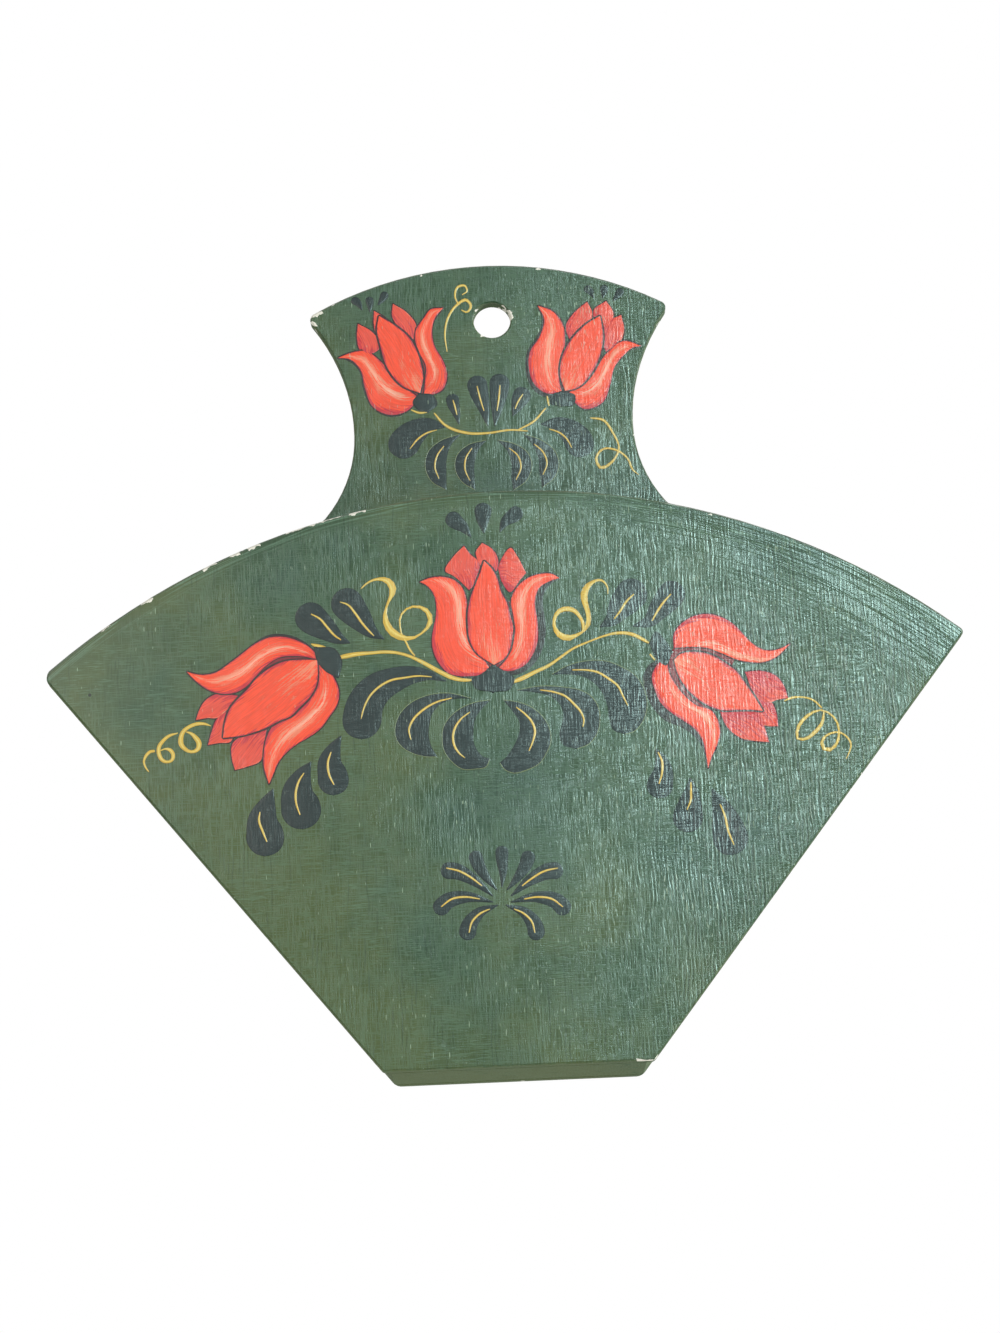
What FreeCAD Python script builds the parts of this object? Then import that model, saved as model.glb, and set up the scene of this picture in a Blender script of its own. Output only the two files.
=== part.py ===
# Hand-painted wall pocket for coffee filter papers.
#
# Two thin wooden boards cut as a fan are held apart by three strips, one down
# each slanted side and one along the foot, and fixed with small brads. The back
# board stands a little higher than the front one and runs on up into a flared
# neck with a hole, by which the pocket hangs on a nail. The front board was sawn
# a little wide, so it overhangs the strips and the back board at both sides.
#
# Millimetres. +X is to the right, +Z is up and the painted front looks along -Y.
# The origin is the middle of the hanging hole, on the back face that meets the
# wall. The outlines are drawn from the apex, the point below the foot where the
# two slanted sides would meet: x is the distance from the upright line through
# it, and a height above it is called a rise.

import FreeCAD
import Part

import math
import os

# Thicknesses, from the wall forward
BOARD = 4.0
POCKET_DEPTH = 24.0
STRIP_WIDTH = 12.0
OVERHANG = 1.4

# The fan. Its sides run to the apex; its arcs are struck from a point close by,
# a little up and to the right, because the pieces are sawn by hand.
FAN_HALF_ANGLE = 38.75
ARC_CENTRE = (1.9, 9.5)
FRONT_RADIUS = 178.4
BACK_RADIUS = 187.0
FOOT_RISE = 41.2
BACK_FOOT_DROP = 0.2

# The neck: each side is two hollow arcs that meet at the waist, under a crowned top
NECK_OFFSET = 0.7
WAIST_HALF_WIDTH = 37.2
WAIST_RISE = 214.0
UPPER_HOLLOW_RADIUS = 54.5
LOWER_HOLLOW_RADIUS = 35.0
CROWN_RADIUS = 97.0
CROWN_RISE = 260.9
HOLE_OFFSET = 1.5
HOLE_RISE = 245.1
HOLE_RADIUS = 5.0

# Hand-sanded corners and edges
LEFT_TIP_ROUND = 2.5
RIGHT_TIP_ROUND = 1.2
FOOT_CORNER_ROUND = 1.5
BACK_FOOT_CORNER_ROUND = 3.0
NECK_ROOT_ROUND = 4.5
CROWN_CORNER_ROUND = 2.0
EASED_EDGE = 0.5
EASED_HOLE = 0.4

# Brads, driven from the front and from the back into each strip
BRAD_INSET = 6.0
BRAD_LENGTH = 14.0
BRAD_RADIUS = 0.7
BRAD_POINT_LENGTH = 1.8
BRADS_UP_EACH_SIDE = 2
TOP_BRAD_FROM_APEX = 173.0
SIDE_BRAD_SPACING = 84.0
FOOT_BRAD_HALF_SPACING = 18.0

# Places that follow from the dimensions above
SLANT = math.radians(FAN_HALF_ANGLE)
BACK_FRONT_FACE_Y = -BOARD
FRONT_BACK_FACE_Y = -(BOARD + POCKET_DEPTH)
FRONT_FACE_Y = -(2 * BOARD + POCKET_DEPTH)
STRIP_RISE = FOOT_RISE + STRIP_WIDTH
TOUCH = 1e-3


def at(x, rise, y=0.0):
    """A point by its distance from the middle line, its rise above the apex and its y."""
    return FreeCAD.Vector(x - HOLE_OFFSET, y, rise - HOLE_RISE)


def along_side(side, distance, inset=0.0):
    """x and rise of a point so far from the apex along a slanted edge, and so far in from it."""
    x = distance * math.sin(SLANT) - inset * math.cos(SLANT)
    rise = distance * math.cos(SLANT) + inset * math.sin(SLANT)
    return side * x, rise


def side_at(side, rise, inset=0.0):
    """x and rise of the point at that rise on a slanted edge, or on a line so far in from it."""
    return side * (rise * math.tan(SLANT) - inset / math.cos(SLANT)), rise


def fan_tip(side, radius, inset=0.0):
    """Where a slanted edge, or a line so far in from it, runs out through an arc of the fan."""
    start = along_side(side, 0.0, inset)
    away_x, away_rise = start[0] - ARC_CENTRE[0], start[1] - ARC_CENTRE[1]
    half = away_x * side * math.sin(SLANT) + away_rise * math.cos(SLANT)
    distance = -half + math.sqrt(half ** 2 - away_x ** 2 - away_rise ** 2 + radius ** 2)
    return along_side(side, distance, inset)


def circles_meet(centre_a, radius_a, centre_b, radius_b):
    """The higher of the two points where two circles of the outline cross."""
    dx, dz = centre_b[0] - centre_a[0], centre_b[1] - centre_a[1]
    gap = math.hypot(dx, dz)
    along = (radius_a ** 2 - radius_b ** 2 + gap ** 2) / (2 * gap)
    across = math.sqrt(radius_a ** 2 - along ** 2)
    points = []
    for turn in (-1, 1):
        x = centre_a[0] + (along * dx - turn * across * dz) / gap
        rise = centre_a[1] + (along * dz + turn * across * dx) / gap
        points.append((x, rise))
    return max(points, key=lambda point: point[1])


def hollow_centre(side, radius):
    """The centre of an arc that makes one side of the neck hollow."""
    return NECK_OFFSET + side * (WAIST_HALF_WIDTH + radius), WAIST_RISE


def neck_corner(side):
    """Where the upper hollow of a side meets the crown."""
    crown_centre = (0.0, CROWN_RISE - CROWN_RADIUS)
    return circles_meet(crown_centre, CROWN_RADIUS,
                        hollow_centre(side, UPPER_HOLLOW_RADIUS), UPPER_HOLLOW_RADIUS)


def neck_root(side):
    """Where the lower hollow of a side meets the arc of the back fan."""
    return circles_meet(ARC_CENTRE, BACK_RADIUS,
                        hollow_centre(side, LOWER_HOLLOW_RADIUS), LOWER_HOLLOW_RADIUS)


def on_hollow(side, radius, turn):
    """A point of a hollow arc, turned so many degrees up from the waist."""
    centre = hollow_centre(side, radius)
    lean = math.radians(turn)
    return centre[0] - side * radius * math.cos(lean), centre[1] + radius * math.sin(lean)


def line(start, end):
    return Part.LineSegment(at(*start), at(*end)).toShape()


def arc(start, middle, end):
    return Part.Arc(at(*start), at(*middle), at(*end)).toShape()


def fan_arc(start, end, radius):
    """The stretch of an arc of the fan between two points that lie on it."""
    x, rise = (start[0] + end[0]) / 2 - ARC_CENTRE[0], (start[1] + end[1]) / 2 - ARC_CENTRE[1]
    reach = radius / math.hypot(x, rise)
    return arc(start, (ARC_CENTRE[0] + reach * x, ARC_CENTRE[1] + reach * rise), end)


def face(edges):
    return Part.Face(Part.Wire(edges))


def fan_face(radius, foot_rise, inset=0.0):
    """The fan from its straight foot up to an arc."""
    left_foot, right_foot = side_at(-1, foot_rise, inset), side_at(1, foot_rise, inset)
    left_tip, right_tip = fan_tip(-1, radius, inset), fan_tip(1, radius, inset)
    return face([
        line(left_foot, right_foot),
        line(right_foot, right_tip),
        fan_arc(right_tip, left_tip, radius),
        line(left_tip, left_foot),
    ])


def neck_side(side):
    """One side of the neck: a lower arc that starts inside the fan, then an upper one."""
    waist = on_hollow(side, LOWER_HOLLOW_RADIUS, 0.0)
    buried = on_hollow(side, LOWER_HOLLOW_RADIUS, -50.0)
    lower = arc(buried, on_hollow(side, LOWER_HOLLOW_RADIUS, -25.0), waist)
    upper = arc(waist, on_hollow(side, UPPER_HOLLOW_RADIUS, 20.0), neck_corner(side))
    return buried, [lower, upper]


def neck_face():
    """The neck, carried down into the fan so that the two overlap."""
    left_foot, left_arcs = neck_side(-1)
    right_foot, right_arcs = neck_side(1)
    crown = arc(neck_corner(-1), (0.0, CROWN_RISE), neck_corner(1))
    return face([line(left_foot, right_foot)] + right_arcs + [crown] + left_arcs[::-1])


def forward(flat, y_back, depth):
    """A flat face of the outline given its thickness, from y_back towards the viewer."""
    solid = flat.extrude(FreeCAD.Vector(0, -depth, 0))
    solid.translate(FreeCAD.Vector(0, y_back, 0))
    return solid


def corner_edge(solid, place):
    """The front-to-back edge that stands at a corner of the outline."""
    corner = at(*place)
    for edge in solid.Edges:
        start, end = edge.Vertexes[0].Point, edge.Vertexes[-1].Point
        runs_back = abs(start.x - end.x) < TOUCH and abs(start.z - end.z) < TOUCH
        if runs_back and math.hypot(start.x - corner.x, start.z - corner.z) < TOUCH:
            return edge
    raise ValueError("no corner at %.1f, %.1f" % place)


def round_corners(solid, corners):
    """Rounds each named corner by its own radius."""
    for place, radius in corners:
        solid = solid.makeFillet(radius, [corner_edge(solid, place)])
    return solid


def ease_faces(solid, y_front, y_back, width):
    """Takes the sharp rims off the front and back faces, as sandpaper does."""
    rims = []
    for edge in solid.Edges:
        for y_face in (y_front, y_back):
            if all(abs(vertex.Y - y_face) < TOUCH for vertex in edge.Vertexes):
                rims.append(edge)
    return solid.makeChamfer(width, rims)


def hanging_hole():
    """The drill's path, with a flare at each mouth for the softened rim."""
    mouth = HOLE_RADIUS + EASED_HOLE
    axis = FreeCAD.Vector(0, -1, 0)
    drill = Part.makeCylinder(HOLE_RADIUS, 3 * BOARD, at(HOLE_OFFSET, HOLE_RISE, BOARD), axis)
    back_flare = Part.makeCone(mouth, HOLE_RADIUS, EASED_HOLE, at(HOLE_OFFSET, HOLE_RISE), axis)
    front_flare = Part.makeCone(HOLE_RADIUS, mouth, EASED_HOLE,
                                at(HOLE_OFFSET, HOLE_RISE, BACK_FRONT_FACE_Y + EASED_HOLE), axis)
    return drill.fuse([back_flare, front_flare])


def back_board():
    """Fan and neck in one piece, with the hole to hang it by."""
    foot_rise = FOOT_RISE - BACK_FOOT_DROP
    flat = fan_face(BACK_RADIUS, foot_rise, OVERHANG).fuse(neck_face()).removeSplitter().Faces[0]
    board = round_corners(forward(flat, 0.0, BOARD), [
        (fan_tip(-1, BACK_RADIUS, OVERHANG), LEFT_TIP_ROUND),
        (fan_tip(1, BACK_RADIUS, OVERHANG), RIGHT_TIP_ROUND),
        (side_at(-1, foot_rise, OVERHANG), BACK_FOOT_CORNER_ROUND),
        (side_at(1, foot_rise, OVERHANG), BACK_FOOT_CORNER_ROUND),
        (neck_root(-1), NECK_ROOT_ROUND),
        (neck_root(1), NECK_ROOT_ROUND),
        (neck_corner(-1), CROWN_CORNER_ROUND),
        (neck_corner(1), CROWN_CORNER_ROUND),
    ])
    board = ease_faces(board, BACK_FRONT_FACE_Y, 0.0, EASED_EDGE)
    return board.cut(hanging_hole())


def front_board():
    """The painted fan in front of the pocket."""
    board = round_corners(forward(fan_face(FRONT_RADIUS, FOOT_RISE), FRONT_BACK_FACE_Y, BOARD), [
        (fan_tip(-1, FRONT_RADIUS), LEFT_TIP_ROUND),
        (fan_tip(1, FRONT_RADIUS), RIGHT_TIP_ROUND),
        (side_at(-1, FOOT_RISE), FOOT_CORNER_ROUND),
        (side_at(1, FOOT_RISE), FOOT_CORNER_ROUND),
    ])
    return ease_faces(board, FRONT_FACE_Y, FRONT_BACK_FACE_Y, EASED_EDGE)


def foot_strip():
    """The floor of the pocket, its ends cut on the slant of the sides."""
    low = [side_at(side, FOOT_RISE, OVERHANG) for side in (-1, 1)]
    high = [side_at(side, STRIP_RISE, OVERHANG) for side in (1, -1)]
    corners = low + high
    edges = [line(a, b) for a, b in zip(corners, corners[1:] + corners[:1])]
    return forward(face(edges), BACK_FRONT_FACE_Y, POCKET_DEPTH)


def side_strip(side):
    """A strip that stands on the foot strip and follows one slanted edge up to the arc."""
    outer, inner = OVERHANG, OVERHANG + STRIP_WIDTH
    outer_top, inner_top = fan_tip(side, FRONT_RADIUS, outer), fan_tip(side, FRONT_RADIUS, inner)
    outer_foot, inner_foot = side_at(side, STRIP_RISE, outer), side_at(side, STRIP_RISE, inner)
    flat = face([
        line(inner_foot, outer_foot),
        line(outer_foot, outer_top),
        fan_arc(outer_top, inner_top, FRONT_RADIUS),
        line(inner_top, inner_foot),
    ])
    tip_round = LEFT_TIP_ROUND if side < 0 else RIGHT_TIP_ROUND
    return round_corners(forward(flat, BACK_FRONT_FACE_Y, POCKET_DEPTH), [(outer_top, tip_round)])


def brad_places():
    """x and rise of every brad: up each side strip, then along the foot."""
    places = []
    for side in (-1, 1):
        for step in range(BRADS_UP_EACH_SIDE):
            places.append(along_side(side, TOP_BRAD_FROM_APEX - step * SIDE_BRAD_SPACING, BRAD_INSET))
    for side in (-1, 1):
        places.append((side * FOOT_BRAD_HALF_SPACING, FOOT_RISE + BRAD_INSET))
    return places


def brad(place, y_head, inward):
    """A headless wire nail, turned from its half profile: a straight shank and a point."""
    def spot(radius, depth):
        return at(place[0] + radius, place[1], y_head + inward * depth)

    profile = Part.makePolygon([
        spot(0, 0),
        spot(BRAD_RADIUS, 0),
        spot(BRAD_RADIUS, BRAD_LENGTH - BRAD_POINT_LENGTH),
        spot(0, BRAD_LENGTH),
        spot(0, 0),
    ])
    return Part.Face(profile).revolve(spot(0, 0), FreeCAD.Vector(0, 1, 0), 360)


def save(name, shape):
    for solid in shape.Solids:
        if not solid.isValid() or solid.Volume <= 0:
            raise ValueError("bad solid in " + name)
    shape.exportStep("parts/" + name + ".step")
    box = shape.optimalBoundingBox()
    print("%-14s %2d solids %9.0f mm3  x %6.1f %6.1f  y %5.1f %5.1f  z %7.1f %6.1f" % (
        name, len(shape.Solids), shape.Volume, box.XMin, box.XMax,
        box.YMin, box.YMax, box.ZMin, box.ZMax))


def main():
    os.makedirs("parts", exist_ok=True)
    front_brads = [brad(place, FRONT_FACE_Y, 1) for place in brad_places()]
    back_brads = [brad(place, 0.0, -1) for place in brad_places()]
    wood = {
        "back_board": back_board(),
        "front_board": front_board(),
        "foot_strip": foot_strip(),
        "left_strip": side_strip(-1),
        "right_strip": side_strip(1),
    }
    for name, board in wood.items():
        save(name, board.cut(front_brads + back_brads))
    save("front_brads", Part.makeCompound(front_brads))
    save("back_brads", Part.makeCompound(back_brads))


main()
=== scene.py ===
import math

import bmesh
import bpy
import numpy as np
from mathutils import Euler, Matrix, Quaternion, Vector


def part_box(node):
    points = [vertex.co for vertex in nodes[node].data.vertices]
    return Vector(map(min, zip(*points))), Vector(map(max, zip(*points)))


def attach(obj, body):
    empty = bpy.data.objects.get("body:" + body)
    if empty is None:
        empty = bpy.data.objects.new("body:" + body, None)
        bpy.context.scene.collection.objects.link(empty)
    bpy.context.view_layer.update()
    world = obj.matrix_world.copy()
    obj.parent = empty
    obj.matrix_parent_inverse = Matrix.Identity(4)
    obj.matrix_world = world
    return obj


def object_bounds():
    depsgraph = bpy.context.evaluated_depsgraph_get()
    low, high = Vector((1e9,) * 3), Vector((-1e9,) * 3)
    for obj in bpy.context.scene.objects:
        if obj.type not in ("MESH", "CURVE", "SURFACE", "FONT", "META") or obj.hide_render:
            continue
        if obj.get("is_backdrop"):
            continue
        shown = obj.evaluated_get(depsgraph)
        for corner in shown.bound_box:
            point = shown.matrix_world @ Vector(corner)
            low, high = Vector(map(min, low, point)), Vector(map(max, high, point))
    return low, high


# %% [markdown]
# A painted wall pocket. The wooden pieces come from the CAD frame and keep their shape. This lesson gives
# them their finish, and adds what a brush adds to the real one: thin films of artist's paint that stand a
# tenth of a millimetre proud of the boards, in the shape of tulips, comma leaves and curled tendrils.

# %% Load the frame and remember its box
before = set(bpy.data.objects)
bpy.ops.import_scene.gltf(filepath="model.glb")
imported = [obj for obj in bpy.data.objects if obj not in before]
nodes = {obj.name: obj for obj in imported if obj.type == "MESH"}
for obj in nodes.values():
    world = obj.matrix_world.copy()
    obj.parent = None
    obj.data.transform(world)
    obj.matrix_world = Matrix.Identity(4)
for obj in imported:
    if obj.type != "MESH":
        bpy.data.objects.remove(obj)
cad_low, cad_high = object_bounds()
print("nodes:", sorted(nodes))
print("CAD box in mm:", [round(1000 * (high - low), 1) for low, high in zip(cad_low, cad_high)])

# %% [markdown]
# The camera comes first, because the brush strokes are placed by it. The photograph was taken from a little
# below the pocket with a long lens, so the neck looks smaller than it is. The place, the turn and the focal
# length were fitted to the outline of both boards. The turn is one rotation about one axis, applied to a
# camera that looks along +Y with +Z up.

# %% Set up the camera
MM = 0.001
PHOTO_WIDTH, PHOTO_HEIGHT = 1000, 1333
FOCAL_PIXELS = 2978.3
SENSOR_MM = 36.0
EYE = Vector((-2.6, -757.2, -290.1)) * MM
EYE_TURN = Vector((0.25177, 0.0428, 0.00441))

camera_data = bpy.data.cameras.new("camera")
camera_data.sensor_width = SENSOR_MM
camera_data.lens = FOCAL_PIXELS * SENSOR_MM / PHOTO_HEIGHT
camera = bpy.data.objects.new("camera", camera_data)
bpy.context.scene.collection.objects.link(camera)
looking_level = Euler((math.pi / 2, 0, 0)).to_quaternion()
eye_rotation = Quaternion(EYE_TURN.normalized(), EYE_TURN.length) @ looking_level
camera.rotation_mode = "QUATERNION"
camera.rotation_quaternion = eye_rotation
camera.location = EYE
bpy.context.scene.camera = camera
bpy.context.scene.view_settings.view_transform = "Standard"
print("lens %.1f mm" % camera_data.lens)


def on_plane(pixels, y):
    """Photo pixels carried onto the plane at that y: eye + ray * (y - eye.y) / ray.y."""
    pixels = np.asarray(pixels, float)
    rays = np.stack([(pixels[..., 0] - PHOTO_WIDTH / 2) / FOCAL_PIXELS,
                     (PHOTO_HEIGHT / 2 - pixels[..., 1]) / FOCAL_PIXELS,
                     -np.ones(pixels.shape[:-1])], axis=-1)
    rays = rays @ np.array(eye_rotation.to_matrix()).T
    return np.array(EYE) + rays * ((y - EYE.y) / rays[..., 1])[..., None]

# %% [markdown]
# A few helpers. One turns the sRGB colours that people write into the linear ones that Blender mixes. One
# adds a shader node with its settings and links, and is all that the materials need.

# %% Helpers for colours and nodes


def linear(hex_colour):
    """Linear RGB of an sRGB hex colour: c/12.92 below 0.04045, otherwise ((c+0.055)/1.055)^2.4."""
    c = np.array([int(hex_colour[i:i + 2], 16) for i in (1, 3, 5)]) / 255
    return np.where(c < 0.04045, c / 12.92, ((c + 0.055) / 1.055) ** 2.4)


def rgba(hex_colour):
    """The same, with the opacity that a colour socket wants."""
    return (*linear(hex_colour), 1.0)


def add(tree, kind, inputs=None, **settings):
    """Adds a shader node. Settings are its own properties. Inputs are values, or what to link from: a
    socket, or a node, which stands for the first output it has in use."""
    node = tree.nodes.new("ShaderNode" + kind)
    for name, value in settings.items():
        setattr(node, name, value)
    for name, value in (inputs or {}).items():
        if isinstance(value, bpy.types.Node):
            value = next(socket for socket in value.outputs if socket.enabled)
        if isinstance(value, bpy.types.NodeSocket):
            tree.links.new(value, node.inputs[name])
        else:
            node.inputs[name].default_value = value
    return node


def new_material(name):
    """An empty node material and the tree that its nodes go into."""
    material = bpy.data.materials.new(name)
    material.use_nodes = True
    material.node_tree.nodes.clear()
    return material, material.node_tree


# %% [markdown]
# The ground was laid on with a coarse brush, up and down and then across, so the surface is a cloth-like
# hatch of fine crests half a millimetre apart. Over to the right the brush was loaded, and its bristles
# combed high, wavy, upright crests with furrows between them. The ornament and the varnish follow them, so
# every painted finish shares one relief, worked out from object coordinates. A fine crest is drawn where a
# stretched noise passes through its middle value. The combed ones are the peaks of a drifting wave.

# %% The brushed relief that all paint shares
LEFT_SIDE, RIGHT_SIDE, LOADED_FROM = -95 * MM, 85 * MM, -15 * MM
LINEN_PITCH, LINEN_RUN, LINEN_WANDER = 0.5 * MM, 9.0 * MM, 0.1
WARP_LEAN, WEFT_LEAN = math.radians(2), math.radians(3)
WARP_WEIGHTS, WEFT_WEIGHTS, PATCH_SIZE = (0.5, 0.2), (0.25, 0.6), 30.0 * MM
CREST_PITCH, CREST_RUN, CREST_HEIGHT = 0.95 * MM, 12.0 * MM, 0.12 * MM
CREST_SHARE = 0.06
WAVE_SQUEEZE, WAVE_DRIFT, WAVE_POWER = 0.35, 9.0, 4.0
WAVE_BREAKS, WAVE_WHOLE = (0.55, 0.35), 0.65
LOADED_WEIGHTS, DEPTH_WEIGHTS = (0.08, 1.0), (0.16, 1.0)
TOOTH, TOOTH_SHARE = 0.32 * MM, 0.08

# a noise stays between these for most of its run
NOISE_LOW, NOISE_HIGH = 0.35, 0.65


def stretched_noise(tree, place, sizes, **settings):
    """A noise with grains of these sizes along x, y and z. Its other inputs are given by name."""
    mapped = add(tree, "Mapping", {"Vector": place, "Scale": [1 / size for size in sizes]})
    return add(tree, "TexNoise", {"Vector": mapped, "Scale": 1.0, **settings})


def crests(tree, place, scale, turn, wander):
    """Thin crests: 1 where a stretched noise is 0.5, falling to 0 when it is CREST_SHARE away."""
    mapped = add(tree, "Mapping", {"Vector": place, "Rotation": (0, turn, 0), "Scale": scale})
    noise = add(tree, "TexNoise", {
        "Vector": mapped, "Scale": 1.0, "Detail": 1.6, "Roughness": 0.5, "Distortion": wander})
    off = add(tree, "Math", {0: noise, 1: 0.5}, operation="SUBTRACT")
    far = add(tree, "Math", {0: off}, operation="ABSOLUTE")
    return add(tree, "MapRange", {
        "Value": far, "From Max": CREST_SHARE, "To Min": 1.0, "To Max": 0.0},
        interpolation_type="SMOOTHSTEP")


def rightwards(tree, place, low, high, start=LEFT_SIDE):
    """A number that runs from low at the start to high at the right side."""
    across = add(tree, "SeparateXYZ", {"Vector": place}).outputs["X"]
    return add(tree, "MapRange", {
        "Value": across, "From Min": start, "From Max": RIGHT_SIDE, "To Min": low, "To Max": high},
        interpolation_type="SMOOTHERSTEP")


def combed(tree, place):
    """Lines combed by the bristles: crests and the furrows beside them, each 0 to 1.

    A wave is (1 + sin(2 pi x / pitch + drift)) / 2. Crests are wave ^ WAVE_POWER, furrows
    (1 - wave) ^ WAVE_POWER, and a long thin noise breaks both."""
    squeezed = add(tree, "Mapping", {"Vector": place, "Scale": (1, 1, WAVE_SQUEEZE)})
    wave = add(tree, "TexWave", {
        "Vector": squeezed, "Scale": math.pi / (10 * CREST_PITCH), "Distortion": WAVE_DRIFT,
        "Detail": 2.0, "Detail Scale": 0.6, "Detail Roughness": 0.6}).outputs["Fac"]
    grain = (2 * CREST_PITCH, 2 * CREST_PITCH, CREST_RUN)
    breaks = stretched_noise(tree, place, grain, Detail=2.0, Roughness=0.6)
    kept = add(tree, "MapRange", {
        "Value": breaks, "From Min": rightwards(tree, place, *WAVE_BREAKS), "From Max": WAVE_WHOLE})
    rest = add(tree, "Math", {0: 1.0, 1: wave}, operation="SUBTRACT")
    lines = []
    for side in (wave, rest):
        narrow = add(tree, "Math", {0: side, 1: WAVE_POWER}, operation="POWER")
        lines.append(add(tree, "Math", {0: narrow, 1: kept}, operation="MULTIPLY"))
    return lines


def brushed_relief(tree, place):
    """Height of the brush marks, 0 to 1: fine linen in patches, and high combed crests at the right."""
    fine, long = 1 / LINEN_PITCH, 1 / LINEN_RUN
    upright = crests(tree, place, (fine, fine, long), WARP_LEAN, LINEN_WANDER)
    sideways = crests(tree, place, (long, fine, fine), WEFT_LEAN, LINEN_WANDER)
    patches = add(tree, "TexNoise", {"Vector": place, "Scale": 1 / PATCH_SIZE, "Detail": 2.0})
    weighted = []
    for lines, (low, high) in ((upright, WARP_WEIGHTS), (sideways, WEFT_WEIGHTS)):
        weight = add(tree, "MapRange", {
            "Value": patches, "From Min": NOISE_LOW, "From Max": NOISE_HIGH, "To Min": low, "To Max": high})
        weighted.append(add(tree, "Math", {0: lines, 1: weight}, operation="MULTIPLY"))
    linen = add(tree, "Math", {0: weighted[0], 1: weighted[1]}, operation="MAXIMUM")
    load = rightwards(tree, place, *LOADED_WEIGHTS, LOADED_FROM)
    loaded = add(tree, "Math", {0: combed(tree, place)[0], 1: load}, operation="MULTIPLY")
    both = add(tree, "Math", {0: linen, 1: loaded}, operation="MAXIMUM")
    tooth = add(tree, "TexNoise", {"Vector": place, "Scale": 1 / TOOTH, "Detail": 1.0})
    return add(tree, "Mix", {0: TOOTH_SHARE, 2: both, 3: tooth})


def varnished(tree, place, height, colour, roughness):
    """Ends a material: paint under varnish, over the relief, which is deeper where the brush was loaded."""
    depth = rightwards(tree, place, *DEPTH_WEIGHTS, LOADED_FROM)
    normal = add(tree, "Bump", {"Strength": depth, "Distance": CREST_HEIGHT, "Height": height})
    shader = add(tree, "BsdfPrincipled", {
        "Base Color": colour, "Roughness": roughness, "Specular IOR Level": VARNISH_SHINE, "Normal": normal})
    add(tree, "OutputMaterial", {"Surface": shader})


# %% [markdown]
# The outlines of the boards are simple shapes, so how far a point is from the nearest edge is a formula.
# Paint wears at the edges first, and the wear, the chips down to the white primer and the paint that laps
# over onto bare wood all follow that distance.

# %% Distance from the edge of the boards
HOLE_OFFSET, HOLE_RISE, HOLE_RADIUS = 1.5 * MM, 245.1 * MM, 5.0 * MM
SLANT = math.radians(38.75)
FOOT_RISE, OVERHANG = 41.2 * MM, 1.4 * MM
ARC_CENTRE = Vector((1.9, 0.0, 9.5)) * MM
FRONT_RADIUS, BACK_RADIUS = 178.4 * MM, 187.0 * MM
NECK_OFFSET, WAIST_HALF_WIDTH, WAIST_RISE = 0.7 * MM, 37.2 * MM, 214.0 * MM
UPPER_HOLLOW, LOWER_HOLLOW = 54.5 * MM, 35.0 * MM
CROWN_RADIUS, CROWN_RISE = 97.0 * MM, 260.9 * MM
FRONT_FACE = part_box("front_board")[0][1]
BACK_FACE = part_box("back_board")[0][1]
BOARD = 4.0 * MM
SKIN = 0.25 * MM
print("front face y %.1f mm, neck face y %.1f mm" % (FRONT_FACE / MM, BACK_FACE / MM))


def distance_from(tree, place, centre, depth=0.0):
    """Distance of the place from a point, with its y left out, or counted so many times over."""
    away = add(tree, "VectorMath", {0: place, 1: tuple(centre)}, operation="SUBTRACT")
    flat = add(tree, "VectorMath", {0: away, 1: (1, depth, 1)}, operation="MULTIPLY")
    return add(tree, "VectorMath", {0: flat}, operation="LENGTH")


def arc_edge(tree, place, radius):
    """Distance in from an arc of the fan: radius - distance from the arc's centre."""
    centre = (ARC_CENTRE.x - HOLE_OFFSET, 0, ARC_CENTRE.z - HOLE_RISE)
    return add(tree, "Math", {0: radius, 1: distance_from(tree, place, centre)}, operation="SUBTRACT")


def fan_edge(tree, place, radius, inset=0.0):
    """Distance in from the fan's edge: the least of arc, slanted side and foot.

    Side: rise*sin(slant) - |x|*cos(slant) - inset. Foot: rise - the foot's rise."""
    from_apex = add(tree, "VectorMath", {0: place, 1: (HOLE_OFFSET, 0, HOLE_RISE)}, operation="ADD")
    mirrored = add(tree, "VectorMath", {0: from_apex}, operation="ABSOLUTE")
    across = add(tree, "VectorMath", {
        0: mirrored, 1: (-math.cos(SLANT), 0, math.sin(SLANT))}, operation="DOT_PRODUCT")
    side = add(tree, "Math", {0: across, 1: inset}, operation="SUBTRACT")
    split = add(tree, "SeparateXYZ", {"Vector": from_apex})
    foot = add(tree, "Math", {0: split.outputs["Z"], 1: FOOT_RISE}, operation="SUBTRACT")
    nearest = add(tree, "Math", {0: arc_edge(tree, place, radius), 1: side}, operation="MINIMUM")
    return add(tree, "Math", {0: nearest, 1: foot}, operation="MINIMUM")


def neck_edge(tree, place):
    """Distance in from the neck's edge: the least of crown and hollow side, each distance from a circle."""
    from_middle = add(tree, "VectorMath", {
        0: place, 1: (HOLE_OFFSET - NECK_OFFSET, 0, HOLE_RISE)}, operation="ADD")
    mirrored = add(tree, "VectorMath", {0: from_middle}, operation="ABSOLUTE")
    hollows = [add(tree, "Math", {
        0: distance_from(tree, mirrored, (WAIST_HALF_WIDTH + radius, 0, WAIST_RISE)), 1: radius},
        operation="SUBTRACT") for radius in (LOWER_HOLLOW, UPPER_HOLLOW)]
    split = add(tree, "SeparateXYZ", {"Vector": mirrored})
    above = add(tree, "Math", {0: split.outputs["Z"], 1: WAIST_RISE}, operation="GREATER_THAN")
    hollow = add(tree, "Mix", {0: above, 2: hollows[0], 3: hollows[1]})
    from_crown = distance_from(tree, mirrored, (0, 0, CROWN_RISE - CROWN_RADIUS))
    crown = add(tree, "Math", {0: CROWN_RADIUS, 1: from_crown}, operation="SUBTRACT")
    return add(tree, "Math", {0: crown, 1: hollow}, operation="MINIMUM")


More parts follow.
